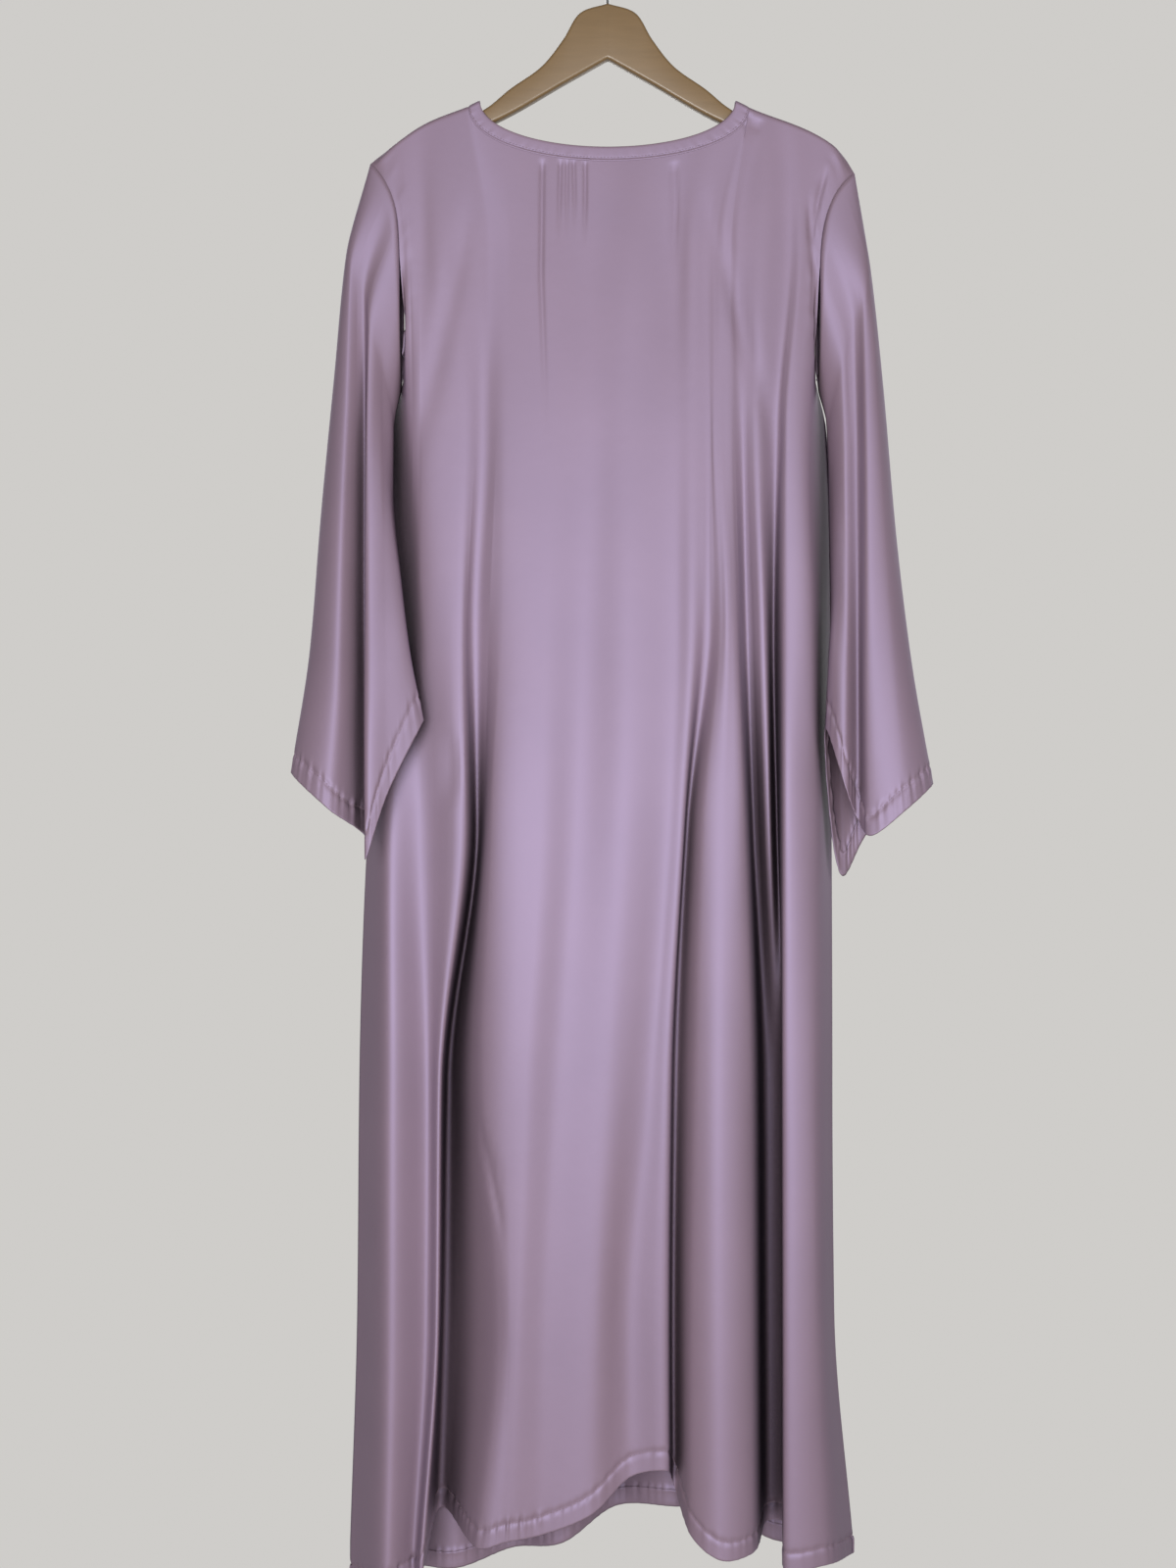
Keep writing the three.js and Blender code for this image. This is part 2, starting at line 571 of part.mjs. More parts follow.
// The hanger: a flat board with rounded edges and a blind hole for the hook's stem.
function hanger(wasm) {
  const board = new THREE.ExtrudeGeometry(hangerOutline(), {
    depth: HANGER_THICKNESS - 2 * HANGER_ROUND,
    curveSegments: UNDER_STEPS,
    bevelThickness: HANGER_ROUND,
    bevelSize: HANGER_ROUND,
    bevelOffset: -HANGER_ROUND,
    bevelSegments: 2,
  });
  board.translate(0, 0, HANGER_ROUND);
  standUp(board, HANGER_THICKNESS);
  const bore = new THREE.CylinderGeometry(WIRE / 2 + SEAM_GAP, WIRE / 2 + SEAM_GAP, 2 * STEM_DEPTH, 12);
  bore.rotateX(Math.PI / 2);
  bore.translate(0, 0, HANGER_TOP);
  const drilled = toManifold(wasm, board).subtract(toManifold(wasm, bore));
  const mesh = new THREE.Mesh(fromManifold(drilled), finish('wood', 0.35, 0));
  mesh.name = 'hanger_board';
  return mesh;
}

// The hook: a stem out of the board that turns once round under the rod and ends in the open.
function hook() {
  const radius = HOOK_INSIDE + WIRE / 2;
  const points = STEM.map(({ x, z }) => new THREE.Vector3(x, 0, z));
  for (let degrees = HOOK_TURN.from; degrees <= HOOK_TURN.to; degrees += HOOK_TURN.step) {
    const angle = THREE.MathUtils.degToRad(degrees);
    points.push(new THREE.Vector3(radius * Math.cos(angle), 0, radius * Math.sin(angle) - HOOK_INSIDE));
  }
  const path = new THREE.CatmullRomCurve3(points, false, 'centripetal');
  const ring = new THREE.Shape().absarc(0, 0, WIRE / 2, 0, 2 * Math.PI);
  const wire = new THREE.ExtrudeGeometry(ring, { extrudePath: path, steps: HOOK_STEPS, curveSegments: 5 });
  const mesh = new THREE.Mesh(wire, finish('chrome', 0.12, 1));
  mesh.name = 'hook_wire';
  return mesh;
}

const wasm = await Module();
wasm.setup();

const bandWall = () => BAND_WALL;

const abaya = new THREE.Group();
const front = bodyGrid(-1);
const back = bodyGrid(1);
abaya.add(clothMesh('front_panel', front, false, clothWall, -1, back));
abaya.add(clothMesh('back_panel', back, false, clothWall, -1, front));
abaya.add(clothMesh('sleeve_left', sleeveGrid('left'), true, clothWall, 1));
abaya.add(clothMesh('sleeve_right', sleeveGrid('right'), true, clothWall, -1));
abaya.add(clothMesh('neck_band_front', bandGrid(-1), false, bandWall, -1));
abaya.add(clothMesh('neck_band_back', bandGrid(1), false, bandWall, -1));
abaya.add(hanger(wasm));
abaya.add(hook());

export default abaya;
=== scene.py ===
"""The looks of a long-sleeved satin abaya on a wooden hanger, round its fixed frame.

Blender works in metres. The tables of the cloth's folds are in millimetres, as a pattern cutter
writes them, and MM turns them into metres where the meshes are made.
"""

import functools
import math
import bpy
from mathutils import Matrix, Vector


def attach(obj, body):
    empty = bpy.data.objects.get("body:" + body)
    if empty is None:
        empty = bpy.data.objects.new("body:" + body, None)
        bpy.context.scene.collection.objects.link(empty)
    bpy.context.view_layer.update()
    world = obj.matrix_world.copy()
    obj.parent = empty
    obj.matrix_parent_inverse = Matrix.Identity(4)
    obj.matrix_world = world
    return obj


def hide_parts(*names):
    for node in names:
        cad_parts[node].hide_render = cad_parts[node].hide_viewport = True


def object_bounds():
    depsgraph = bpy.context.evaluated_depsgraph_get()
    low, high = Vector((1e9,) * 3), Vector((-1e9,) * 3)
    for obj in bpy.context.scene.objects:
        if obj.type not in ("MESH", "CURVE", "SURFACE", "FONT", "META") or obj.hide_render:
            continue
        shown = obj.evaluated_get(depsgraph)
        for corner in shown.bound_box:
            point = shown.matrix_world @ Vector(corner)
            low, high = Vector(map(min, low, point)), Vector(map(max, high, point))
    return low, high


bl_info = {
    "name": "Satin abaya",
    "version": (1, 0, 0),
    "blender": (4, 5, 0),
    "location": "View3D > Sidebar > Abaya",
    "description": "Makes the satin, sewing, hanger, hook and studio of an abaya round its frame",
    "category": "Object",
}

import bpy
import numpy as np
from bpy.props import FloatProperty, FloatVectorProperty, PointerProperty
from mathutils import Vector

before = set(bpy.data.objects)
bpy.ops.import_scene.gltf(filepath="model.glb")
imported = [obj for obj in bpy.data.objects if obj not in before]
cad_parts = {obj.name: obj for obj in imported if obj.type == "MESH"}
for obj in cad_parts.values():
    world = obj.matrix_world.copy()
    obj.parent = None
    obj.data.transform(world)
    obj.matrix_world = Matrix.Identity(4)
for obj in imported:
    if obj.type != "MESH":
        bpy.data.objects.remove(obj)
CAD_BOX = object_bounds()

MM = 0.001

# Neck opening and its band
NECK_HALF = 120
NECK_DROP = 46
NECK_TOP = -163
NECK_ROUNDNESS = 0.92
BAND_WIDTH = 11
NECK_BULGE = 12

# Shoulder line: neck point of the panels, a point on the way, and the tip, as (x, z)
SHOULDER = {
    "left": {"neck": (-130, -168), "middle": (-170, -184), "tip": (-223, -222)},
    "right": {"neck": (132, -169), "middle": (212, -205), "tip": (232, -231)},
}
SHOULDER_ROLL = 9.2
ROLL_DROP = 5

# Armhole: the (x, y) of the underarm, and what bends the seam from there to the shoulder tip. The
# sleeves' fold lines start from stations along it, counted from the underarm by the front.
UNDERARM_HEIGHT = -426
UNDERARM = {"left": (-192, 5), "right": (196, 5)}
UNDERARM_EASE = 4
ARMHOLE_HOLLOW = 28
ARMHOLE_SWELL = {-1: 17, 1: 20}
ARMHOLE_ROUNDNESS = 0.7
ARMHOLE_RISE = 2 / 3
TIP_STATION = 9
SECOND_STATION_DROP = 12

# Heights of the body's named levels
BODY_LEVELS = {
    "yoke": -300, "bust": -470, "waist": -650, "hip": -840, "knee": -1080, "shin": -1300, "hem": -1520,
}

# Shares of the sleeve's length at its named levels
SLEEVE_LEVELS = {"cap": 0.15, "biceps": 0.35, "elbow": 0.6, "forearm": 0.8, "cuff": 1}


def table(columns, rows):
    """Rows of values as rows with named columns."""
    return [dict(zip(columns, row)) for row in rows]


# Fold lines of the body. Each row: the place of its top end on the panel's upper edge (1 left
# shoulder tip, 2 and 3 the neck points, 4 right shoulder tip), the (x, y) that it passes at
# each level, and the height of the hem under it.
BODY_COLUMNS = ("fold", "edge", "yoke", "bust", "waist", "hip", "knee", "shin", "hem", "end")
FRONT_FOLDS = table(BODY_COLUMNS, [
    ("left side seam", 1, None,
     (-206, 20), (-205, 20), (-226, 10), (-234, 8), (-236, 8), (-243, 10), -1556),
    ("left roll crest", 1.3, (-187, -14),
     (-184, -12), (-190, 2), (-202, -32), (-199, -46), (-199, -48), (-202, -50), -1540),
    ("left inner pleat", 1.5, (-173, -12),
     (-172, -19), (-171, -22), (-172, -26), (-167, -27), (-168, -28), (-180, -32), -1535),
    ("left roll edge", 1.66, (-157, -15),
     (-137, -24), (-138, -33), (-134, -44), (-155, -38), (-157, -40), (-171, -46), -1528),
    ("left gore valley", 2, (-113, -13),
     (-112, -21), (-121, -24), (-121, -16), (-149, 10), (-152, 12), (-159, 12), -1486),
    ("centre panel left edge", 2.22, (-92, -15),
     (-94, -26), (-96, -36), (-106, -46), (-113, -48), (-100, -52), (-120, -56), -1500),
    ("centre left crest", 2.35, (-56, -16),
     (-55, -28), (-58, -40), (-62, -54), (-77, -60), (-84, -60), (-94, -62), -1492),
    ("centre soft valley", 2.45, (-18, -14),
     (-16, -25), (-21, -35), (-29, -47), (-46, -54), (-58, -56), (-62, -58), -1487),
    ("centre right crest", 2.56, (23, -17),
     (18, -28), (18, -41), (14, -54), (0, -58), (-12, -60), (-16, -62), -1467),
    ("thin centre valley", 2.67, (64, -13),
     (62, -25), (62, -36), (54, -47), (37, -50), (20, -48), (22, -48), -1437),
    ("small ridge", 2.72, (77, -16),
     (77, -27), (77, -40), (68, -49), (55, -53), (52, -55), (53, -57), -1429),
    ("shaded face", 2.78, (90, -15),
     (92, -26), (91, -35), (73, -33), (62, -32), (60, -30), (61, -29), -1450),
    ("right panel left edge", 2.86, (100, -16),
     (99, -28), (104, -42), (88, -52), (81, -57), (77, -60), (76, -62), -1488),
    ("right panel crest", 2.93, (108, -17),
     (107, -28), (111, -44), (108, -56), (104, -64), (102, -70), (102, -74), -1504),
    ("right panel right edge", 3, (115, -16),
     (114, -27), (118, -40), (124, -50), (130, -50), (130, -56), (131, -60), -1503),
    ("right gore valley", 3.12, (122, -14),
     (125, -22), (129, -22), (137, -4), (149, 12), (151, 15), (152, 15), -1500),
    ("sliver ridge", 3.2, (144, -17),
     (138, -27), (143, -34), (149, -26), (158, 10), (160, 12), (161, 12), -1498),
    ("narrow valley", 3.34, (167, -12),
     (156, -18), (154, -14), (158, -10), (166, -4), (168, -2), (169, -2), -1500),
    ("right roll edge", 3.48, (180, -15),
     (167, -26), (164, -34), (162, -48), (161, -50), (161, -54), (161, -56), -1520),
    ("right roll crest", 3.7, (190, -14),
     (184, -20), (186, -30), (190, -36), (188, -46), (190, -50), (200, -50), -1517),
    ("right side seam", 4, None,
     (208, 21), (214, 24), (212, 14), (212, 8), (214, 10), (233, 20), -1533),
])
BACK_FOLDS = table(BODY_COLUMNS, [
    ("right back roll", 3.7, (190, 17),
     (183, 26), (188, 36), (194, 36), (197, 40), (202, 42), (215, 48), -1536),
    ("right back valley", 3.4, (160, 15),
     (155, 27), (152, 30), (150, 30), (150, 31), (152, 31), (158, 32), -1524),
    ("right back crest", 3, (118, 17),
     (112, 31), (108, 40), (106, 47), (107, 54), (110, 58), (112, 62), -1508),
    ("right centre valley", 2.74, (78, 16),
     (70, 27), (62, 31), (58, 32), (58, 33), (60, 33), (62, 34), -1493),
    ("centre back crest", 2.55, (25, 17),
     (22, 32), (18, 42), (14, 50), (10, 58), (8, 62), (8, 66), -1504),
    ("left centre valley", 2.42, (-25, 16),
     (-28, 27), (-31, 31), (-35, 32), (-39, 33), (-41, 33), (-43, 34), -1528),
    ("left back crest", 2.25, (-80, 17),
     (-80, 31), (-85, 41), (-89, 49), (-91, 57), (-92, 61), (-92, 65), -1544),
    ("left back valley", 2, (-118, 16),
     (-116, 28), (-125, 32), (-135, 32), (-141, 33), (-143, 33), (-145, 34), -1552),
    ("left back roll", 1.6, (-160, 17),
     (-156, 30), (-165, 39), (-181, 43), (-187, 47), (-189, 49), (-195, 52), -1555),
    ("left back turn", 1.3, (-187, 17),
     (-182, 24), (-193, 35), (-215, 33), (-221, 35), (-225, 35), (-233, 37), -1558),
])

# Fold lines of the sleeves, round each tube from the underarm by the front. Each row: the
# station of the armhole seam that it starts from (0 underarm, 9 shoulder tip, 18 underarm
# again by the back), the (x, y) that it passes at each level, and the height of the hem.
SLEEVE_COLUMNS = ("fold", "station", "cap", "biceps", "elbow", "forearm", "cuff", "end")
SLEEVE_FOLDS = {
    "left": table(SLEEVE_COLUMNS, [
        ("underarm", 0, (-200, -7), (-200, -14), (-191, -27), (-182, -40), (-169, -46), -745),
        ("inner panel crest", 3, (-211, -17), (-209, -30), (-206, -46), (-203, -60), (-199, -68), -810),
        ("fold edge", 5, (-222, -19), (-223, -33), (-222, -50), (-221, -66), (-219, -80), -871),
        ("fold valley", 6, (-227, -12), (-226, -16), (-225, -28), (-223, -42), (-221, -56), -851),
        ("outer panel crest", 7, (-240, -14), (-242, -25), (-245, -46), (-246, -64), (-252, -84), -825),
        ("outer edge", 9, (-245, 0), (-256, -5), (-268, -16), (-275, -32), (-290, -50), -792),
        ("back outer", 11, (-238, 12), (-248, 12), (-258, 5), (-264, -10), (-276, -27), -795),
        ("back middle", 14, (-220, 14), (-222, 18), (-226, 11), (-228, -5), (-230, -21), -800),
        ("back inner", 16, (-206, 8), (-205, 10), (-201, 2), (-194, -13), (-186, -27), -770),
    ]),
    "right": table(SLEEVE_COLUMNS, [
        ("underarm", 0, (206, -7), (208, -13), (208, -24), (204, -34), (200, -36), -752),
        ("inner panel crest", 3, (217, -17), (219, -26), (219, -38), (217, -48), (215, -58), -803),
        ("fold valley", 5, (229, -14), (232, -21), (231, -33), (230, -41), (229, -49), -837),
        ("fold edge", 6, (238, -18), (238, -30), (237, -46), (236, -56), (237, -66), -850),
        ("outer panel crest", 7, (244, -12), (250, -24), (256, -40), (262, -54), (270, -70), -826),
        ("outer edge", 9, (246, 0), (258, -4), (269, -14), (281, -26), (299, -38), -803),
        ("back outer", 11, (240, 13), (250, 14), (259, 8), (268, 0), (282, -10), -815),
        ("back middle", 14, (224, 15), (230, 18), (236, 14), (240, 10), (244, 4), -850),
        ("back inner", 16, (212, 8), (214, 9), (216, 4), (218, 0), (219, -9), -889),
    ]),
}

# Creases finer than the folds. Each row: the (x, z) places that it runs through, its width,
# how far it lifts the cloth (down into a trough when negative), and the shares of its length
# over which it grows at its first end and fades at its last.
CREASE_COLUMNS = ("crease", "path", "width", "lift", "grow", "fade")
FRONT_CREASES = table(CREASE_COLUMNS, [
    ("long neck gather", [(-61, -219), (-62, -330), (-56, -500)], 2.6, -2.0, 0.03, 0.7),
    ("neck gather 1", [(-44, -219), (-45, -262), (-46, -302)], 1.9, -1.6, 0.08, 0.7),
    ("neck gather 2", [(-38, -219), (-38, -258), (-37, -296)], 1.7, -1.4, 0.08, 0.7),
    ("neck gather 3", [(-32, -219), (-31, -254), (-31, -290)], 1.7, -1.6, 0.08, 0.7),
    ("neck gather 4", [(-21, -219), (-21, -262), (-22, -306)], 2.0, -1.8, 0.08, 0.7),
    ("thin neck crease", [(62, -222), (63, -268), (61, -330)], 2.6, -1.6, 0.04, 0.6),
    ("left neck drag", [(-128, -240), (-140, -325), (-172, -470), (-184, -530)], 10, -2.2, 0.3, 0.4),
    ("right neck drag", [(88, -240), (107, -315), (150, -470), (160, -530)], 9, -2.2, 0.3, 0.4),
    ("left breast trough", [(-113, -335), (-118, -520), (-128, -765)], 9, -1.8, 0.3, 0.4),
    ("corner crumple 1", [(128, -176), (136, -184), (147, -188)], 2.2, -1.4, 0.3, 0.3),
    ("corner crumple 2", [(124, -182), (131, -192), (142, -197)], 2.0, -1.1, 0.3, 0.3),
    ("right armhole crease 1", [(205, -226), (197, -256), (191, -292)], 3.2, -2.2, 0.2, 0.5),
    ("right armhole crease 2", [(187, -250), (190, -300), (194, -345)], 3.2, -1.8, 0.3, 0.4),
    ("cuff hollow", [(-146, -745), (-143, -790), (-147, -830)], 9, -3.0, 0.4, 0.4),
    ("crumple 1", [(-122, -1112), (-108, -1146), (-90, -1176)], 3.0, -1.2, 0.3, 0.4),
    ("crumple 2", [(-118, -1128), (-105, -1168), (-92, -1206)], 2.6, -1.4, 0.3, 0.4),
    ("crumple 3", [(-112, -1152), (-101, -1192), (-93, -1222)], 2.4, -1.2, 0.3, 0.4),
])
BACK_CREASES = table(CREASE_COLUMNS, [
    ("back neck gather 1", [(-34, -219), (-35, -270), (-38, -340)], 3.0, -1.4, 0, 0.7),
    ("back neck gather 2", [(-22, -219), (-21, -262), (-20, -306)], 2.2, -1.2, 0, 0.8),
    ("back neck gather 3", [(6, -219), (8, -285), (5, -380)], 3.2, -1.3, 0, 0.7),
    ("back neck gather 4", [(28, -219), (28, -258), (30, -300)], 2.0, -1.0, 0, 0.8),
    ("left blade drag", [(-118, -236), (-138, -330), (-165, -450)], 10, -2.4, 0.3, 0.4),
    ("right blade drag", [(120, -238), (138, -320), (160, -440)], 9, -2.0, 0.3, 0.4),
    ("long back trough", [(52, -420), (40, -640), (34, -900)], 10, -2.2, 0.3, 0.4),
    ("left back trough", [(-98, -520), (-108, -760), (-112, -980)], 9, -1.8, 0.3, 0.4),
    ("back crumple", [(96, -1060), (84, -1120), (78, -1190)], 3.2, -1.3, 0.3, 0.4),
])

# Rows and columns of the fine cloth. The front has more columns at the neck gathers, which lie
# between these places among its fold lines, counted from 0. The UV map takes its widths from the
# row at UV_ROW of a sheet's height.
PANEL_COLUMNS = 276
GATHER_COLUMNS = 36
GATHER_FOLDS = (5.72, 7.04)
TUBE_COLUMNS = 190
CURVE_STEPS = 40
ROLL_STEPS = (0, 0.25, 0.8, 1.6, 2.6, 3.7, 5, 7, 9.4, 12)
UPPER_ROWS = 30
LOWER_ROWS = 88
SLEEVE_ROWS = 110
UV_ROW = 3 / 4

# Hems: rows of the cloth and of its turned part in shares of the hem's depth, where 1 is the
# stitch line, the gap between the two, how far a slanting edge may widen the hem, and how many
# neighbours on each side even its depth out
HEM_STEPS = (1.6, 1.4, 1.25, 1.12, 1, 0.88, 0.76, 0.62, 0.48, 0.34, 0.2, 0.08, 0)
TURN_STEPS = (0.08, 0.3, 0.62, 0.88, 1)
STITCH_ROW = HEM_STEPS.index(1) - len(HEM_STEPS)
HEM_GAP = 1.1
HEM_WIDEST = 1.7
HEM_EVENED = {"panel": 6, "sleeve": 5}

# Puckers along a hem's stitch line and the thread's groove in it, in shares of the hem's depth,
# and a share that stands for all rows above the hem
HEM_PUCKERS = {"above": 0.24, "below": 0.34, "least": 0.3, "height": 0.75}
HEM_GROOVE = {"width": 0.13, "depth": 0.7}
ABOVE_HEM = 9

# Puckers and the trough along an armhole, in millimetres, and where they start and end
ARMHOLE_PUCKERS = {"away": 7, "width": 5, "depth": 0.7}
ARMHOLE_TROUGH = {"width": 5, "depth": 3.2, "start": 60}
UNDERARM_FADE = 40

# Lengths of a pucker's waves, how far the slow one sways the others, and the narrow one's share
SLOW_WAVE = 61
WIDE_WAVE = {"length": 10.5, "sway": 1.9}
NARROW_WAVE = {"length": 6.1, "sway": 2.7, "share": 0.6}
PHASES = {"panel": 0.7, "armhole": 1.3, "left": 2.1, "right": 3.3, "band": 4.2}

# How far the edges at a seam turn in, how far under the underarm a level has to lie to shape the
# side seam, and which way round the columns of each piece run
SEAM_TURN = 2.4
SEAM_CLEAR = 30
PANEL_FLIP = -1
SLEEVE_FLIP = {"left": 1, "right": -1}


def lerp(a, b, share):
    """The value at a share of the way from a to b."""
    return a + (b - a) * share


def catmull_rom(points, closed, places):
    """Points of a smooth curve through given ones, at places from 0 to 1."""
    points = np.asarray(points, float)
    if closed:
        run = np.vstack([points[-1:], points, points[:2]])
        spans = len(points)
    else:
        run = np.vstack([2 * points[:1] - points[1:2], points, 2 * points[-1:] - points[-2:-1]])
        spans = len(points) - 1
    along = np.clip(np.asarray(places, float) * spans, 0, spans)
    i = np.minimum(along.astype(int), spans - 1)
    t = (along - i)[:, None]
    p0, p1, p2, p3 = run[i], run[i + 1], run[i + 2], run[i + 3]
    gap0, gap1, gap2 = (
        np.sqrt(np.linalg.norm(b - a, axis=1, keepdims=True)) for a, b in ((p0, p1), (p1, p2), (p2, p3))
    )
    leave = gap1 * ((p1 - p0) / gap0 - (p2 - p0) / (gap0 + gap1) + (p2 - p1) / gap1)
    arrive = gap1 * ((p2 - p1) / gap1 - (p3 - p1) / (gap1 + gap2) + (p3 - p2) / gap2)
    return (
        p1
        + leave * t
        + (3 * (p2 - p1) - 2 * leave - arrive) * t**2
        + (2 * (p1 - p2) + leave + arrive) * t**3
    )


def smooth_through(knots, values, at):
    """Rows of a smooth curve through values at rising knots, which never swings past them."""
    knots = np.asarray(knots, float)
    values = np.asarray(values, float)
    step = np.diff(knots)[:, None]
    rise = np.diff(values, axis=0) / step
    slope = np.vstack([rise[:1], np.zeros_like(rise[1:]), rise[-1:]])
    before = 2 * step[1:] + step[:-1]
    after = step[1:] + 2 * step[:-1]
    level = rise[:-1] * rise[1:] <= 0
    first = np.where(level, 1, rise[:-1])
    second = np.where(level, 1, rise[1:])
    slope[1:-1] = np.where(level, 0, (before + after) / (before / first + after / second))
    at = np.asarray(at, float)
    i = np.clip(np.searchsorted(knots, at, side="right") - 1, 0, len(knots) - 2)
    t = np.clip((at - knots[i])[:, None] / step[i], 0, 1)
    return (
        (1 + 2 * t) * (1 - t) ** 2 * values[i]
        + t * t * (3 - 2 * t) * values[i + 1]
        + t * (1 - t) ** 2 * step[i] * slope[i]
        + t * t * (t - 1) * step[i] * slope[i + 1]
    )


def even_places(points, closed, count):
    """Places on the curve through points that lie at even steps along it."""
    fine = np.linspace(0, 1, CURVE_STEPS * len(points))
    curve = catmull_rom(points, closed, fine)[:, :2]
    length = np.concatenate([[0], np.cumsum(np.linalg.norm(np.diff(curve, axis=0), axis=1))])
    even = np.linspace(0, length[-1], count, endpoint=not closed)
    return np.interp(even, length, fine)


def shoulder_point(side, share):
    """The (x, z) of the shoulder line at a share of the way from the neck to the tip."""
    line = [SHOULDER[side][name] for name in ("neck", "middle", "tip")]
    x = lerp(line[0][0], line[2][0], share)
    height = smooth_through([abs(p[0]) for p in line], [[p[1]] for p in line], [abs(x)])
    return x, height[0, 0]


def armhole_points(side, heights, face):
    """Points of the armhole seam at heights, on the front (-1) or the back (1)."""
    tip_x, tip_z = SHOULDER[side]["tip"]
    under_x, under_y = UNDERARM[side]
    drop = np.clip(tip_z - np.asarray(heights, float), 0, None)
    fall = tip_z - UNDERARM_HEIGHT
    rise = np.clip(1 - (drop / fall) ** ARMHOLE_RISE, 0, 1)
    hollow = (1 - np.exp(-drop / ARMHOLE_HOLLOW)) / (1 - math.exp(-fall / ARMHOLE_HOLLOW))
    swell = np.sin(np.pi * rise).clip(0) ** ARMHOLE_ROUNDNESS * ARMHOLE_SWELL[face]
    depth = face * swell + under_y * (1 - rise) ** UNDERARM_EASE
    return np.stack([lerp(tip_x, under_x, hollow), depth], axis=-1)


def neck_points(turns, outs, face):
    """Points of the neck: turn runs from 0 at the left to 1 at the right neck point, and out
    from 0 on the opening's edge to 1 on the band's seam."""
    turns = np.asarray(turns, float)
    outs = np.asarray(outs, float)
    angle = np.pi * turns
    left = turns < 0.5
    neck_x = np.where(left, -SHOULDER["left"]["neck"][0], SHOULDER["right"]["neck"][0])
    neck_z = np.where(left, SHOULDER["left"]["neck"][1], SHOULDER["right"]["neck"][1])
    top = lerp(NECK_TOP, neck_z, outs)
    bottom = NECK_TOP - NECK_DROP - outs * BAND_WIDTH
    drop = (top - bottom) * np.sin(angle).clip(0) ** NECK_ROUNDNESS
    depth = rolled(drop) * lerp(SHOULDER_ROLL, NECK_BULGE, np.sin(angle))
    return np.stack([-lerp(NECK_HALF, neck_x, outs) * np.cos(angle), face * depth, top - drop], axis=-1)


def rolled(drop):
    """How far cloth has turned over the hanger's round edge, from 0 to 1, at a drop below it."""
    share = np.clip(np.asarray(drop, float) / ROLL_DROP, 0, 1)
    return np.sqrt(share * (2 - share))


def upper_edge(edge, face):
    """The (x, z) of a panel's upper edge at an edge place, the height of the shoulder line
    there, and the depth of cloth that has turned over it."""
    side = "left" if edge < 2.5 else "right"
    away = edge if side == "left" else 5 - edge
    if away < 2:
        x, z = shoulder_point(side, 2 - away)
        return x, z, z, SHOULDER_ROLL
    x, _, z = neck_points(edge - 2, 1, face)
    return x, z, SHOULDER[side]["neck"][1], lerp(SHOULDER_ROLL, NECK_BULGE, math.sin(math.pi * (edge - 2)))


def panel_folds(face):
    """The fold lines of one panel from side seam to side seam."""
    seams = []
    for side, seam in (("left", FRONT_FOLDS[0]), ("right", FRONT_FOLDS[-1])):
        seams.append({**seam, "yoke": tuple(armhole_points(side, BODY_LEVELS["yoke"], face))})
    if face < 0:
        return [seams[0], *FRONT_FOLDS[1:-1], seams[1]]
    return [seams[1], *BACK_FOLDS, seams[0]]


def panel_heights(top, end, hem_height):
    """Heights of a column's rows: close over the shoulder and in the hem, even between."""
    roll = top - np.array(ROLL_STEPS)
    upper = np.linspace(roll[-1], UNDERARM_HEIGHT, UPPER_ROWS + 1)[1:]
    hem = end + hem_height * np.array(HEM_STEPS)
    lower = np.linspace(UNDERARM_HEIGHT, hem[0], LOWER_ROWS + 1)[1:-1]
    return np.concatenate([roll, upper, lower, hem])


def hem_heights(outline, depth):
    """How high a hem of even depth reaches over each place of its slanting edge."""
    step = np.gradient(outline, axis=0)
    slope = np.abs(step[:, 2]) / np.maximum(np.hypot(step[:, 0], step[:, 1]), 1e-6)
    return depth * np.minimum(np.sqrt(1 + slope**2), HEM_WIDEST)


def softened(values, reach, closed):
    """Values averaged with their neighbours on both sides."""
    mode = "wrap" if closed else "edge"
    padded = np.pad(values, reach, mode=mode)
    return np.convolve(padded, np.ones(2 * reach + 1) / (2 * reach + 1), mode="valid")


def panel_grid(face, hem_depth):
    """Points of one body panel, rows down and columns across, in millimetres."""
    folds = panel_folds(face)
    outlines = {level: [(*fold[level], fold["end"]) for fold in folds] for level in BODY_LEVELS}
    places = even_places(outlines["knee"], False, PANEL_COLUMNS)
    if face < 0:
        gathered = np.linspace(*GATHER_FOLDS, GATHER_COLUMNS) / (len(folds) - 1)
        places = np.sort(np.concatenate([places, gathered]))
    sections = np.stack([catmull_rom(outline, False, places) for outline in outlines.values()])
    rise = softened(hem_heights(sections[-1], hem_depth), HEM_EVENED["panel"], False)
    at = places * (len(folds) - 1)
    edges = np.interp(at, range(len(folds)), [fold["edge"] for fold in folds])
    levels = -np.array(list(BODY_LEVELS.values()), float)
    columns = []
    for c, edge in enumerate(edges):
        x, top, crown, depth = upper_edge(edge, face)
        turn = min(top, crown - ROLL_DROP)
        heights = panel_heights(top, sections[-1, c, 2], rise[c])
        passed = np.vstack([[x, face * depth], sections[:, c, :2]])
        plan = smooth_through(np.concatenate([[-turn], levels]), passed, -heights)
        plan[:, 1] *= rolled(crown - heights)
        columns.append(np.column_stack([plan, heights]))
    grid = np.stack(columns, axis=1)
    sides = ("left", "right") if face < 0 else ("right", "left")
    for side, c, share in ((sides[0], 0, at), (sides[1], -1, len(folds) - 1 - at)):
        seam = side_seam(side, face, grid[:, c, 2], sections[:, c, :2])
        away = np.clip(1 - share, 0, 1) ** 2
        grid[:, :, :2] += away[None, :, None] * (seam - grid[:, c, :2])[:, None]
    return grid


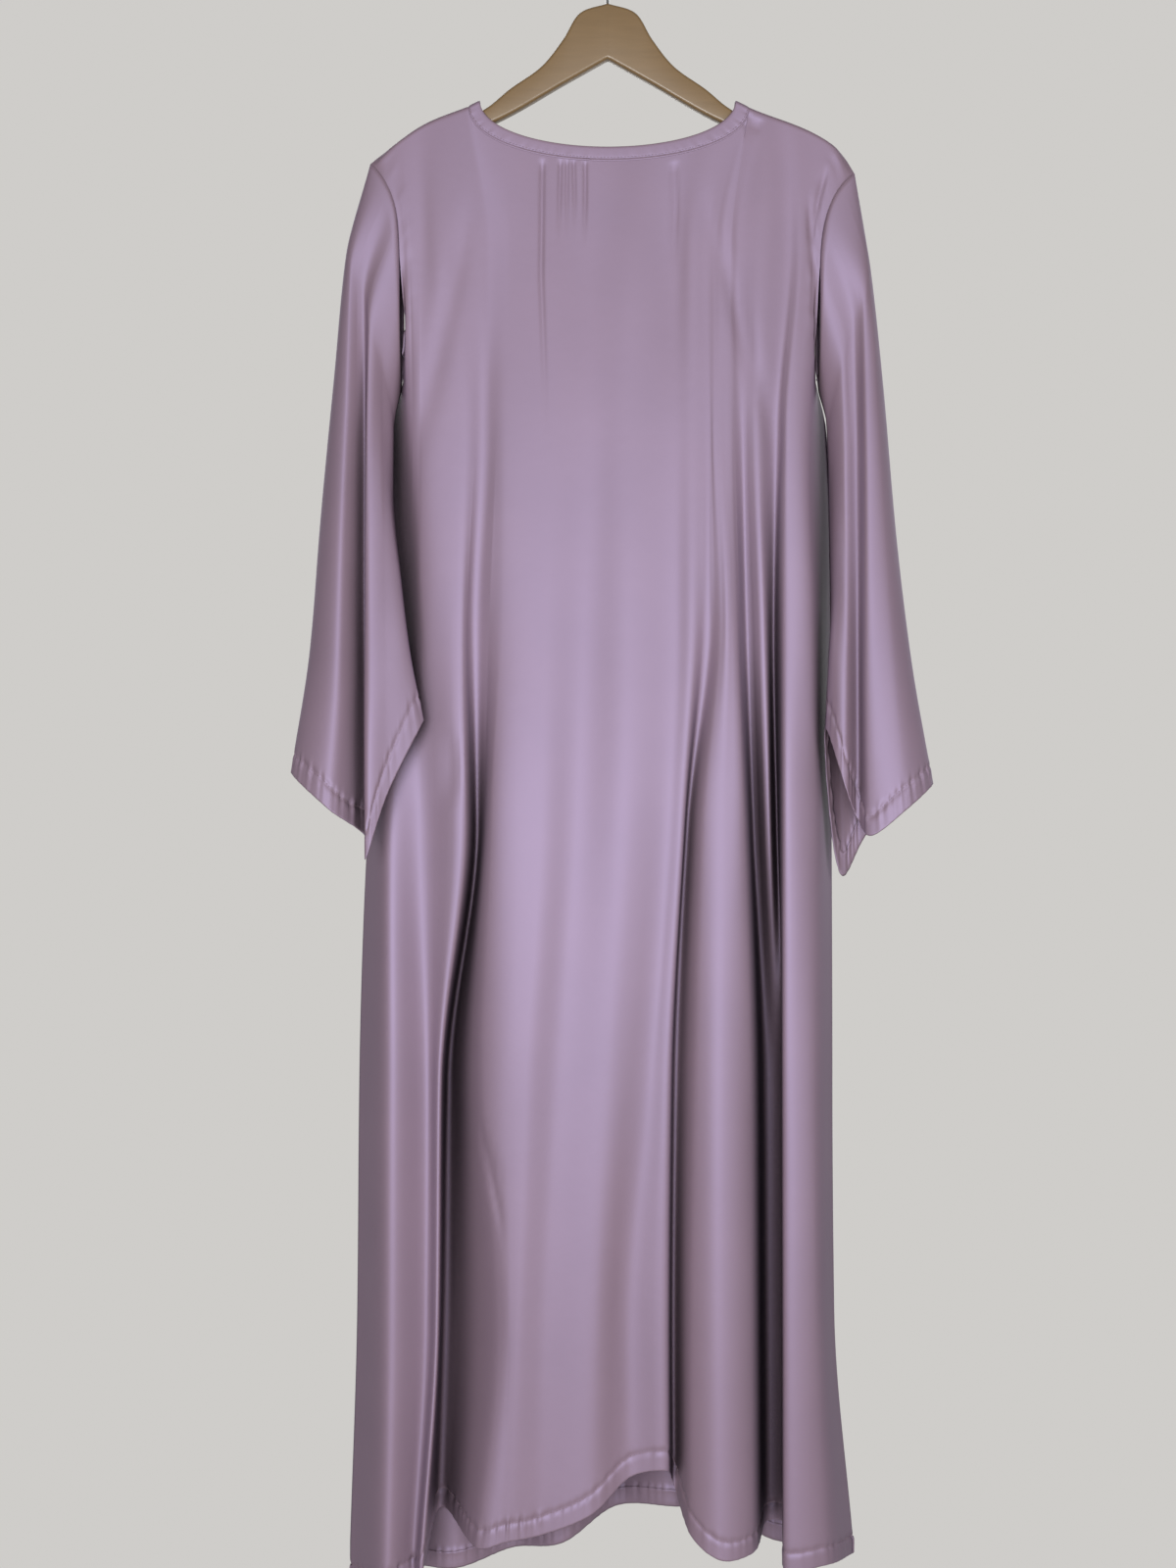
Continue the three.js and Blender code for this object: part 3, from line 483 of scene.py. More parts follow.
def side_seam(side, face, heights, passed):
    """The (x, y) of a panel's edge: down the armhole to the underarm, and on to the hem."""
    levels = [level for level in BODY_LEVELS.values() if level < UNDERARM_HEIGHT - SEAM_CLEAR]
    knots = [-UNDERARM_HEIGHT, *(-level for level in levels)]
    lower = smooth_through(knots, [UNDERARM[side], *passed[-len(levels):]], -heights)
    upper = armhole_points(side, heights, face)
    return np.where(heights[:, None] > UNDERARM_HEIGHT, upper, lower)


def station_heights(side, stations):
    """Heights of the armhole at stations counted down from the shoulder tip."""
    tip = SHOULDER[side]["tip"][1]
    marks = [tip, tip - ROLL_DROP, tip - SECOND_STATION_DROP]
    marks += list(np.linspace(marks[-1], UNDERARM_HEIGHT, TIP_STATION - 1)[1:])
    return np.interp(stations, range(len(marks)), marks)


def sleeve_grid(side, hem_depth):
    """Points of one sleeve, rows down and columns round from the underarm by the front."""
    folds = SLEEVE_FOLDS[side]
    outlines = {level: [(*fold[level], fold["end"]) for fold in folds] for level in SLEEVE_LEVELS}
    places = even_places(outlines["elbow"], True, TUBE_COLUMNS)
    sections = np.stack([catmull_rom(outline, True, places) for outline in outlines.values()])
    rise = softened(hem_heights(sections[-1], hem_depth), HEM_EVENED["sleeve"], True)
    marks = [fold["station"] for fold in folds] + [2 * TIP_STATION]
    stations = np.interp(places * len(folds), range(len(marks)), marks)
    knots = [0, *SLEEVE_LEVELS.values()]
    columns = []
    for c, station in enumerate(stations):
        face = -1 if station < TIP_STATION else 1
        top = station_heights(side, abs(TIP_STATION - station))
        end = sections[-1, c, 2]
        hem = end + rise[c] * np.array(HEM_STEPS)
        heights = np.concatenate([np.linspace(top, hem[0], SLEEVE_ROWS)[:-1], hem])
        passed = np.vstack([armhole_points(side, top, face), sections[:, c, :2]])
        plan = smooth_through(knots, passed, (top - heights) / (top - end))
        columns.append(np.column_stack([plan, heights]))
    return np.stack(columns, axis=1)


def normals_of(grid, closed, flip):
    """Outward directions of a grid of points."""
    if closed:
        across = np.roll(grid, -1, axis=1) - np.roll(grid, 1, axis=1)
    else:
        across = np.gradient(grid, axis=1)
    normals = flip * np.cross(across, np.gradient(grid, axis=0))
    return normals / np.maximum(np.linalg.norm(normals, axis=2, keepdims=True), 1e-9)


def crease_lift(grid, creases):
    """How far creases lift each point of a grid, seen from the front or the back."""
    seen = grid[:, :, [0, 2]]
    lift = np.zeros(grid.shape[:2])
    for crease in creases:
        path = np.array(crease["path"], float)
        legs = np.linalg.norm(np.diff(path, axis=0), axis=1)
        passed = np.concatenate([[0], np.cumsum(legs)]) / legs.sum()
        nearest = np.full(lift.shape, np.inf)
        along = np.zeros(lift.shape)
        for a, b, start, stop in zip(path[:-1], path[1:], passed[:-1], passed[1:]):
            share = np.clip(((seen - a) @ (b - a)) / ((b - a) @ (b - a)), 0, 1)
            away = np.linalg.norm(seen - a - share[:, :, None] * (b - a), axis=2)
            closer = away < nearest
            nearest = np.where(closer, away, nearest)
            along = np.where(closer, lerp(start, stop, share), along)
        grown = np.clip(along / crease["grow"], 0, 1) if crease["grow"] else 1
        faded = np.clip((1 - along) / crease["fade"], 0, 1)
        strength = np.sin(np.pi / 2 * grown * faded) ** 2
        lift += crease["lift"] * strength * hump(nearest, crease["width"])
    return lift


def hump(away, width):
    """A soft hump, 1 at its middle, at distances away from it."""
    return np.exp(-((away / width) ** 2))


def puckers(along, phase):
    """An uneven wave from -1 to 1 along a stitched line, where thread draws the cloth in."""
    turns = 2 * np.pi * along
    slow = np.sin(turns / SLOW_WAVE + phase)
    wide = np.sin(turns / WIDE_WAVE["length"] + WIDE_WAVE["sway"] * slow)
    narrow = np.sin(turns / NARROW_WAVE["length"] + NARROW_WAVE["sway"] * slow + 2 * phase)
    return (wide + NARROW_WAVE["share"] * narrow) / (1 + NARROW_WAVE["share"])


def lengths(points):
    """Distances along a line of points from its start."""
    return np.concatenate([[0], np.cumsum(np.linalg.norm(np.diff(points, axis=0), axis=1))])


def puckered_hem(grid, closed, flip, depth, phase):
    """A grid with puckers along the stitch line of its hem."""
    wave = puckers(lengths(grid[-1]), phase)
    rows = np.concatenate([np.full(len(grid) - len(HEM_STEPS), float(ABOVE_HEM)), HEM_STEPS])
    groove = hump(rows - 1, HEM_GROOVE["width"])
    least = HEM_PUCKERS["least"]
    below = least + (1 - least) * hump(1 - rows, HEM_PUCKERS["below"])
    reach = np.where(rows > 1, hump(rows - 1, HEM_PUCKERS["above"]), below)
    lift = HEM_PUCKERS["height"] * reach[:, None] * wave - HEM_GROOVE["depth"] * groove[:, None]
    return grid + normals_of(grid, closed, flip) * (depth * lift)[:, :, None]


def turned_hem(grid, closed, flip):
    """The rows that a hem adds when it turns inwards and up again to its stitch line."""
    normals = normals_of(grid, closed, flip)
    down = grid[-1] - grid[-2]
    down /= np.linalg.norm(down, axis=1, keepdims=True)
    rows = [grid[-1] + HEM_GAP * (0.45 * down - 0.5 * normals[-1])]
    steps = np.array(HEM_STEPS)
    first = len(grid) - len(HEM_STEPS)
    for step in TURN_STEPS:
        r = first + np.interp(step, steps[::-1], np.arange(len(steps))[::-1])
        low, high = int(math.floor(r)), int(math.ceil(r))
        point = lerp(grid[low], grid[high], r - low)
        rows.append(point - HEM_GAP * lerp(normals[low], normals[high], r - low))
    rows.append(rows[-1] + 0.4 * HEM_GAP * normals[STITCH_ROW])
    return np.stack(rows)


def armhole_lift(grid):
    """How far the sleeves' seams draw the cloth of a panel into short puckers beside them."""
    steps = np.linalg.norm(np.diff(grid[:, :, :2], axis=1), axis=2)
    away = np.concatenate([np.zeros((len(grid), 1)), np.cumsum(steps, axis=1)], axis=1)
    over = np.clip((grid[:, :, 2] - UNDERARM_HEIGHT) / UNDERARM_FADE, 0, 1)
    lift = np.zeros(away.shape)
    for edge, distance in ((0, away), (-1, away[:, -1:] - away)):
        wave = puckers(lengths(grid[:, edge]), PHASES["armhole"] - edge)
        near = hump(distance - ARMHOLE_PUCKERS["away"], ARMHOLE_PUCKERS["width"])
        trough = hump(distance, ARMHOLE_TROUGH["width"])
        below = np.clip((grid[0, edge, 2] - grid[:, :, 2]) / ARMHOLE_TROUGH["start"], 0, 1)
        lift += ARMHOLE_PUCKERS["depth"] * near * wave[:, None] - ARMHOLE_TROUGH["depth"] * trough * below
    return lift * over


@functools.cache
def panel_cloth(face, hem_depth, pucker):
    """The visible face of a body panel, with its creases and hem puckers, in millimetres."""
    grid = panel_grid(face, hem_depth)
    lift = crease_lift(grid, FRONT_CREASES if face < 0 else BACK_CREASES) + armhole_lift(grid)
    grid = grid + normals_of(grid, False, PANEL_FLIP) * lift[:, :, None]
    return puckered_hem(grid, False, PANEL_FLIP, pucker, PHASES["panel"] + face)


@functools.cache
def sleeve_cloth(side, hem_depth, pucker):
    """The visible face of a sleeve, with its hem puckers, in millimetres."""
    grid = sleeve_grid(side, hem_depth)
    fallen = grid[0, :, 2] - grid[:, :, 2]
    below = np.clip((grid[0, :, 2].max() - grid[0, :, 2]) / ARMHOLE_TROUGH["start"], 0, 1)
    trough = -ARMHOLE_TROUGH["depth"] * below * hump(fallen, ARMHOLE_TROUGH["width"])
    grid = grid + normals_of(grid, True, SLEEVE_FLIP[side]) * trough[:, :, None]
    return puckered_hem(grid, True, SLEEVE_FLIP[side], pucker, PHASES[side])


def turned_seams(grid):
    """A panel with its upper edge and sides turned in, as at a sewn seam."""
    normals = normals_of(grid, False, PANEL_FLIP)
    first = grid[:1] + [0, 0, -SEAM_TURN]
    body = np.concatenate([first, grid])
    inward = -SEAM_TURN * np.concatenate([normals[:1], normals])
    left = (body[:, 0] + inward[:, 0])[:, None]
    right = (body[:, -1] + inward[:, -1])[:, None]
    return np.concatenate([left, body, right], axis=1)


def mesh_object(name, points, faces, material):
    """A smooth object from points in millimetres."""
    mesh = bpy.data.meshes.new(name)
    mesh.from_pydata((np.asarray(points) * MM).tolist(), [], faces)
    mesh.shade_smooth()
    mesh.materials.append(material)
    obj = bpy.data.objects.new(name, mesh)
    bpy.context.scene.collection.objects.link(obj)
    return obj


def fit(piece, solid=None):
    """Puts a piece on the garment's one body, in place of its solid where it has one."""
    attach(piece, "root")
    if solid:
        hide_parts(solid)


def cloth_piece(name, grid, closed, flip, solid):
    """A thin sheet of satin through a grid of points, with its lengths as a UV map."""
    rows, count = grid.shape[:2]
    spans = count if closed else count - 1
    r, c = np.meshgrid(np.arange(rows - 1), np.arange(spans), indexing="ij")
    after = (c + 1) % count
    corners = [r * count + c, r * count + after, (r + 1) * count + after, (r + 1) * count + c]
    faces = np.stack([corner.ravel() for corner in corners], axis=1)
    around = grid[int(rows * UV_ROW)]
    if closed:
        around = np.vstack([around, around[:1]])
    widths = lengths(around)
    drops = lengths(grid[:, count // 2])
    places = [(c, r), (c + 1, r), (c + 1, r + 1), (c, r + 1)]
    if flip < 0:
        faces = faces[:, ::-1]
        places = places[::-1]
    cloth = mesh_object(name, grid.reshape(-1, 3), faces.tolist(), satin_material())
    uv = np.stack(
        [np.stack([widths[i.ravel()], drops[j.ravel()]], axis=1) for i, j in places], axis=1
    )
    threads = cloth.data.uv_layers.new(name="threads")
    threads.data.foreach_set("uv", (uv * MM).ravel())
    wall = cloth.modifiers.new("Thickness", "SOLIDIFY")
    wall.thickness = bpy.context.scene.abaya_satin.thickness
    wall.offset = -1
    wall.use_even_offset = False
    fit(cloth, solid)
    return cloth


def tube_faces(rings, sides, base=0):
    """Faces between rings of points that follow each other round a tube."""
    faces = []
    for ring in range(rings - 1):
        for side in range(sides):
            a = base + ring * sides + side
            b = base + ring * sides + (side + 1) % sides
            faces.append([a, b, b + sides, a + sides])
    return faces


def end_faces(rings, sides, base=0):
    """Faces that close a tube's two ends."""
    last = base + (rings - 1) * sides
    return [[base + side for side in reversed(range(sides))], [last + side for side in range(sides)]]


def node_tree(name):
    """A new material and its node tree, with a Principled shader on its output."""
    material = bpy.data.materials.new(name)
    material.use_nodes = True
    tree = material.node_tree
    return material, tree, tree.nodes["Principled BSDF"]


def set_inputs(node, values):
    """Constants on a node's sockets."""
    for name, value in values.items():
        node.inputs[name].default_value = value


def add_node(tree, kind, inputs=None, **settings):
    """A node with its own settings, and constants on its sockets."""
    node = tree.nodes.new(kind)
    set_inputs(node, inputs or {})
    for name, value in settings.items():
        setattr(node, name, value)
    return node


def colour_ramp(tree, source, stops):
    """The colour that a ramp through stops of (place, colour) gives a source."""
    ramp = tree.nodes.new("ShaderNodeValToRGB")
    elements = ramp.color_ramp.elements
    for element, (place, colour) in zip(elements, stops):
        element.position = place
        element.color = (*colour, 1)
    tree.links.new(source, ramp.inputs["Fac"])
    return ramp.outputs["Color"]


def mottled(tree, place, noise, stops):
    """A noise over a surface, and the colour that a ramp through two stops gives it."""
    spots = add_node(tree, "ShaderNodeTexNoise", noise)
    tree.links.new(place, spots.inputs["Vector"])
    return spots.outputs["Fac"], colour_ramp(tree, spots.outputs["Fac"], stops)


def raised(tree, height, strength, distance, under=None):
    """The direction of a surface with a bump on it, over another bump where there is one."""
    bump = add_node(tree, "ShaderNodeBump", {"Strength": strength, "Distance": distance})
    tree.links.new(height, bump.inputs["Height"])
    if under:
        tree.links.new(under, bump.inputs["Normal"])
    return bump.outputs["Normal"]


def tones(colour, darker, lighter):
    """Stops of a colour's darker and lighter tone."""
    return (0.3, shaded(colour, darker)), (0.7, shaded(colour, lighter))


def shaded(colour, factor):
    """A colour made lighter or darker."""
    return tuple(min(1, channel * factor) for channel in colour[:3])


# Satin: how far round it the painted fold shade looks for sheltering cloth, the occlusion at which that
# painted shade is darkest and where the colour is full again, how closely its threads lie, and how
# strongly they throw light back
PAINTED_SHADE_REACH = 0.06
PAINTED_SHADE_STOPS = (0.12, 0.66)
THREADS = (2600, 420, 1)
SATIN_IOR = 2.4


def satin_material():
    """Mauve satin: a smooth face of long floats over a fine weave, with painted shade that darkens its
    colour and dims its gloss deep in its folds.
    """
    made = bpy.data.materials.get("satin_cloth")
    if made:
        return made
    settings = bpy.context.scene.abaya_satin
    material, tree, shader = node_tree("satin_cloth")
    link = tree.links.new
    place = add_node(tree, "ShaderNodeTexCoord").outputs
    noise = {"Scale": 9, "Detail": 4, "Roughness": 0.55}
    _, tone = mottled(tree, place["Object"], noise, tones(settings.colour, 0.95, 1.04))
    # Painted shade: ambient occlusion darkens the satin's colour deep in its folds and hollows, down to
    # the share set as depth.
    painted_shade_occlusion = add_node(tree, "ShaderNodeAmbientOcclusion", {"Distance": PAINTED_SHADE_REACH}, samples=8)
    deep, open_face = (settings.depth,) * 3, (1, 1, 1)
    depth = colour_ramp(tree, painted_shade_occlusion.outputs["AO"], ((PAINTED_SHADE_STOPS[0], deep), (PAINTED_SHADE_STOPS[1], open_face)))
    tint = add_node(tree, "ShaderNodeMix", {"Factor": 1}, data_type="RGBA", blend_type="MULTIPLY")
    link(tone, tint.inputs["A"])
    link(depth, tint.inputs["B"])
    link(tint.outputs["Result"], shader.inputs["Base Color"])
    # Painted shade on the gloss: the same occlusion ramp dims the satin's lustre deep in its folds.
    shine = add_node(tree, "ShaderNodeMath", {1: settings.lustre}, operation="MULTIPLY")
    link(depth, shine.inputs[0])
    link(shine.outputs["Value"], shader.inputs["Specular IOR Level"])
    stretch = add_node(tree, "ShaderNodeMapping", {"Scale": THREADS})
    link(place["UV"], stretch.inputs["Vector"])
    threads = add_node(tree, "ShaderNodeTexNoise", {"Scale": 1, "Detail": 2})
    link(stretch.outputs["Vector"], threads.inputs["Vector"])
    slubs = add_node(tree, "ShaderNodeTexNoise", {"Scale": 70, "Detail": 5, "Roughness": 0.6})
    link(place["Object"], slubs.inputs["Vector"])
    weave = raised(tree, threads.outputs["Fac"], 0.12, 0.0001)
    link(raised(tree, slubs.outputs["Fac"], 0.14, 0.0008, weave), shader.inputs["Normal"])
    across = add_node(tree, "ShaderNodeTangent", direction_type="UV_MAP", uv_map="threads")
    link(across.outputs["Tangent"], shader.inputs["Tangent"])
    set_inputs(shader, {
        "IOR": SATIN_IOR, "Specular Tint": (*settings.shine_colour, 1),
        "Roughness": settings.roughness, "Anisotropic": 0.3,
    })
    return material


def thread_material():
    """Sewing thread a little lighter than the satin."""
    made = bpy.data.materials.get("sewing_thread")
    if made:
        return made
    material, tree, shader = node_tree("sewing_thread")
    place = add_node(tree, "ShaderNodeTexCoord").outputs["Object"]
    colour = bpy.context.scene.abaya_satin.colour
    stops = ((0.35, shaded(colour, 0.95)), (0.65, shaded(colour, 1.3)))
    _, tone = mottled(tree, place, {"Scale": 900, "Detail": 2}, stops)
    tree.links.new(tone, shader.inputs["Base Color"])
    set_inputs(shader, {"Roughness": 0.6})
    return material


def wood_material():
    """Brown lacquered wood with a faint grain along the board."""
    material, tree, shader = node_tree("lacquered_wood")
    link = tree.links.new
    place = add_node(tree, "ShaderNodeTexCoord")
    stretch = add_node(tree, "ShaderNodeMapping", {"Scale": (6, 60, 60)})
    link(place.outputs["Object"], stretch.inputs["Vector"])
    noise = {"Scale": 4, "Detail": 6, "Roughness": 0.6, "Distortion": 0.4}
    stops = tones(bpy.context.scene.abaya_hanger.wood_colour, 0.94, 1.05)
    grain, tone = mottled(tree, stretch.outputs["Vector"], noise, stops)
    link(tone, shader.inputs["Base Color"])
    link(raised(tree, grain, 0.12, 0.0003), shader.inputs["Normal"])
    set_inputs(shader, {"Roughness": 0.42, "Coat Weight": 0.35, "Coat Roughness": 0.3})
    return material


def chrome_material():
    """Polished chrome with faint drawing marks."""
    material, tree, shader = node_tree("polished_chrome")
    place = add_node(tree, "ShaderNodeTexCoord").outputs["Object"]
    stops = tones(bpy.context.scene.abaya_hanger.chrome_colour, 0.9, 1.05)
    marks, tone = mottled(tree, place, {"Scale": 400, "Detail": 3}, stops)
    tree.links.new(tone, shader.inputs["Base Color"])
    tree.links.new(raised(tree, marks, 0.05, 0.0001), shader.inputs["Normal"])
    set_inputs(shader, {"Metallic": 1, "Roughness": 0.2})
    return material


class SatinSettings(bpy.types.PropertyGroup):
    """Colour and cut of the satin."""

    colour: FloatVectorProperty(
        name="Colour", description="Colour of the satin's face", subtype="COLOR",
        default=(0.188, 0.126, 0.152), min=0, max=1,
    )
    shine_colour: FloatVectorProperty(
        name="Shine", description="Tint of the light that the satin's floats throw back",
        subtype="COLOR", default=(0.66, 0.60, 1.0), min=0, max=1,
    )
    roughness: FloatProperty(
        name="Roughness", description="How wide the satin spreads its shine",
        default=0.6, min=0, max=1, subtype="FACTOR",
    )
    lustre: FloatProperty(
        name="Lustre", description="How much of the light the satin's floats throw back",
        default=0.42, min=0, max=1, subtype="FACTOR",
    )
    # Painted shade: the share of the satin's colour that the occlusion ramp keeps where a fold is most
    # sheltered.
    depth: FloatProperty(
        name="Depth", description="Share of its colour that the satin keeps deep in a fold",
        default=0.07, min=0, max=1, subtype="FACTOR",
    )
    thickness: FloatProperty(
        name="Thickness", description="Thickness of the cloth", default=0.00045, min=0.0002, max=0.001,
        precision=5, subtype="DISTANCE", unit="LENGTH",
    )


class SewingSettings(bpy.types.PropertyGroup):
    """Hems and stitches."""

    hem_depth: FloatProperty(
        name="Hem depth", description="Height of the turned hems and cuffs", default=0.016,
        min=0.008, max=0.03, precision=4, subtype="DISTANCE", unit="LENGTH",
    )
    pucker: FloatProperty(
        name="Pucker", description="How far the stitching draws the cloth in", default=0.0016,
        min=0, max=0.003, precision=4, subtype="DISTANCE", unit="LENGTH",
    )
    stitch: FloatProperty(
        name="Stitch", description="Length of one stitch with its gap", default=0.0032,
        min=0.002, max=0.006, precision=4, subtype="DISTANCE", unit="LENGTH",
    )
    thread: FloatProperty(
        name="Thread", description="Thickness of the sewing thread", default=0.00045,
        min=0.0002, max=0.001, precision=5, subtype="DISTANCE", unit="LENGTH",
    )


class HangerSettings(bpy.types.PropertyGroup):
    """Sizes and colours of the hanger and its hook."""

    wood_colour: FloatVectorProperty(
        name="Wood", description="Colour of the lacquered wood", subtype="COLOR",
        default=(0.158, 0.098, 0.044), min=0, max=1,
    )
    chrome_colour: FloatVectorProperty(
        name="Chrome", description="Colour of the hook", subtype="COLOR",
        default=(0.78, 0.79, 0.80), min=0, max=1,
    )
    edge_round: FloatProperty(
        name="Edge round", description="Radius of the board's rounded edges", default=0.003,
        min=0.001, max=0.005, precision=4, subtype="DISTANCE", unit="LENGTH",
    )
    wire: FloatProperty(
        name="Wire", description="Diameter of the hook's wire", default=0.0035,
        min=0.002, max=0.005, precision=4, subtype="DISTANCE", unit="LENGTH",
    )


class StudioSettings(bpy.types.PropertyGroup):
    """Floor, lights and camera."""

    distance: FloatProperty(
        name="Camera distance", description="From the camera to the garment's plane", default=1.89,
        min=1, max=6, subtype="DISTANCE", unit="LENGTH",
    )
    view_height: FloatProperty(
        name="View height", description="Height of what the picture shows at the garment's plane",
        default=1.472, min=0.5, max=4, subtype="DISTANCE", unit="LENGTH",
    )
    floor_drop: FloatProperty(
        name="Floor", description="How far the floor lies below the hem", default=0.22,
        min=0, max=2, subtype="DISTANCE", unit="LENGTH",
    )
    key_power: FloatProperty(
        name="Key light", description="Power of each soft light in front", default=84,
        min=0, max=500, subtype="POWER", unit="POWER",
    )
    ambient: FloatProperty(
        name="Wall light", description="Brightness of the pale wall behind the garment", default=0.67,
        min=0, max=3,
    )
    room: FloatProperty(
        name="Room light", description="Brightness of the rest of the room, as a share of the wall's",
        default=0.25, min=0, max=1, subtype="FACTOR",
    )


SETTINGS = {
    "abaya_satin": SatinSettings,
    "abaya_sewing": SewingSettings,
    "abaya_hanger": HangerSettings,
    "abaya_studio": StudioSettings,
}


def sewn_sizes():
    """The hems' depth and the height of their puckers, in millimetres."""
    sewing = bpy.context.scene.abaya_sewing
    return sewing.hem_depth / MM, sewing.pucker / MM


class ABAYA_OT_panels(bpy.types.Operator):
    """Make the front and the back panel with their folds, creases and turned hems."""

    bl_idname = "abaya.make_panels"
    bl_label = "Front and back"

    def execute(self, context):
        cuts = (("front", -1, (0.96, 1.38), 0.842), ("back", 1, (0.64, 1.41), 0.665))
        for name, face, flat, area in cuts:
            cloth = panel_cloth(face, *sewn_sizes())
            grid = turned_seams(np.concatenate([cloth, turned_hem(cloth, False, PANEL_FLIP)]))
            panel = cloth_piece(f"{name}_satin", grid, False, PANEL_FLIP, f"{name}_panel")
        return {"FINISHED"}


class ABAYA_OT_sleeves(bpy.types.Operator):
    """Make the two sleeves with their lengthwise fold and turned cuffs."""

    bl_idname = "abaya.make_sleeves"
    bl_label = "Sleeves"

    def execute(self, context):
        for side, flat, area in (("left", (0.475, 0.62), 0.128), ("right", (0.516, 0.61), 0.117)):
            flip = SLEEVE_FLIP[side]
            cloth = sleeve_cloth(side, *sewn_sizes())
            head = cloth[:1] - SEAM_TURN * normals_of(cloth, True, flip)[:1]
            grid = np.concatenate([head, cloth, turned_hem(cloth, True, flip)])
            sleeve = cloth_piece(f"{side}_sleeve_satin", grid, True, flip, f"sleeve_{side}")
        return {"FINISHED"}


# The band's section: places from the opening's edge (0) to the band's seam (1), each with how
# far it lies outside the panels' face. It starts inside, turns over the edge and ends tucked in.
# Its puckers follow the length of the row in its middle.
BAND_PROFILE = (
    (1.15, -2.3), (0.75, -1.7), (0.4, -1.6), (0.1, -1.5), (0.0, -1.1), (-0.03, -0.5), (0.0, 0.0),
    (0.08, 0.28), (0.22, 0.36), (0.5, 0.38), (0.74, 0.37), (0.9, 0.32), (0.98, 0.16), (1.02, -0.2),
    (1.03, -0.9),
)
BAND_MIDDLE = 9
BAND_COLUMNS = 200
BAND_SPAN = (-0.05, 1.2)
BAND_CHECKS = 60
BAND_PUCKERS = {"at": 0.95, "width": 0.3, "depth": 0.22}


def band_grid(face):
    """Points of the neck band on the front or the back, rows across its section."""
    turns = np.linspace(0, 1, BAND_COLUMNS)
    if face > 0:
        turns = turns[::-1]
    outs, lifts = np.array(BAND_PROFILE).T
    even = np.linspace(*BAND_SPAN, BAND_CHECKS)
    base = neck_points(turns[None, :], even[:, None], face)
    normals = normals_of(base, False, PANEL_FLIP)
    columns = []
    for c in range(BAND_COLUMNS):
        middle, outward = (
            np.stack([np.interp(outs, even, points[:, c, k]) for k in range(3)], axis=1)
            for points in (base, normals)
        )
        columns.append(middle + lifts[:, None] * outward)
    grid = np.stack(columns, axis=1)
    wave = puckers(lengths(grid[BAND_MIDDLE]), PHASES["band"] + face)
    soft = BAND_PUCKERS["depth"] * hump(outs - BAND_PUCKERS["at"], BAND_PUCKERS["width"])
    return grid + soft[:, None, None] * wave[None, :, None] * np.array([0, face, 0])


class ABAYA_OT_neck_band(bpy.types.Operator):
    """Make the folded band round the neck, front and back."""

    bl_idname = "abaya.make_neck_band"
    bl_label = "Neck band"

    def execute(self, context):
        for name, face in (("front", -1), ("back", 1)):
            solid = f"neck_band_{name}"
            band = cloth_piece(f"{name}_neck_band", band_grid(face), False, PANEL_FLIP, solid)
        return {"FINISHED"}


# One stitch: rings along the thread, each with its place in shares of the stitch's length and its
# share of the thread's thickness, and how deep the thread sinks in where it grows thin
STITCH_RINGS = ((-0.36, 0.35), (-0.2, 1), (0.2, 1), (0.36, 0.35))
STITCH_SIDES = 6
STITCH_SINK = 0.4
BAND_STITCHES = {"from": 0.02, "to": 0.98, "steps": 160, "out": 0.9, "over": 0.5}


def point_at(points, along, distance):
    """The point at a distance along a line of points."""
    return np.array([np.interp(distance, along, points[:, k]) for k in range(3)])


def stitched_line(name, points, normals, closed):
    """Stitches of thread laid end to end along a line on the cloth, joined in one mesh."""
    sewing = bpy.context.scene.abaya_sewing
    if closed:
        points = np.vstack([points, points[:1]])
        normals = np.vstack([normals, normals[:1]])
    along = lengths(points)
    step = sewing.stitch / MM
    radius = sewing.thread / MM / 2
    rings = len(STITCH_RINGS)
    vertices = []
    faces = []
    for k in range(int(along[-1] // step)):
        middle = (k + 0.5) * step
        centres = [point_at(points, along, middle + place * step) for place, _ in STITCH_RINGS]
        run = centres[-1] - centres[0]
        run /= np.linalg.norm(run)
        side = np.cross(run, point_at(normals, along, middle))
        side /= np.linalg.norm(side)
        up = np.cross(side, run)
        base = len(vertices)
        for centre, (_, size) in zip(centres, STITCH_RINGS):
            for s in range(STITCH_SIDES):
                angle = 2 * math.pi * s / STITCH_SIDES
                away = math.cos(angle) * side + math.sin(angle) * up
                vertices.append(centre + radius * (size * away + (size - STITCH_SINK) * up))
        closed_tube = tube_faces(rings, STITCH_SIDES, base) + end_faces(rings, STITCH_SIDES, base)
        faces += [face[::-1] for face in closed_tube]
    fit(mesh_object(name, vertices, faces, thread_material()))


class ABAYA_OT_stitching(bpy.types.Operator):
    """Lay the stitches along the hems, the cuffs and the neck band."""

    bl_idname = "abaya.make_stitching"
    bl_label = "Stitching"

    def execute(self, context):
        for name, face in (("front", -1), ("back", 1)):
            cloth = panel_cloth(face, *sewn_sizes())
            normals = normals_of(cloth, False, PANEL_FLIP)
            stitched_line(f"{name}_hem_stitches", cloth[STITCH_ROW], normals[STITCH_ROW], False)
            turns = np.linspace(BAND_STITCHES["from"], BAND_STITCHES["to"], BAND_STITCHES["steps"])
            line = neck_points(turns, BAND_STITCHES["out"], face)
            away = np.tile([0.0, face, 0.0], (len(line), 1))
            stitched_line(f"{name}_band_stitches", line + BAND_STITCHES["over"] * away, away, False)
        for side in ("left", "right"):
            cloth = sleeve_cloth(side, *sewn_sizes())
            normals = normals_of(cloth, True, SLEEVE_FLIP[side])
            stitched_line(f"{side}_cuff_stitches", cloth[STITCH_ROW], normals[STITCH_ROW], True)
        return {"FINISHED"}


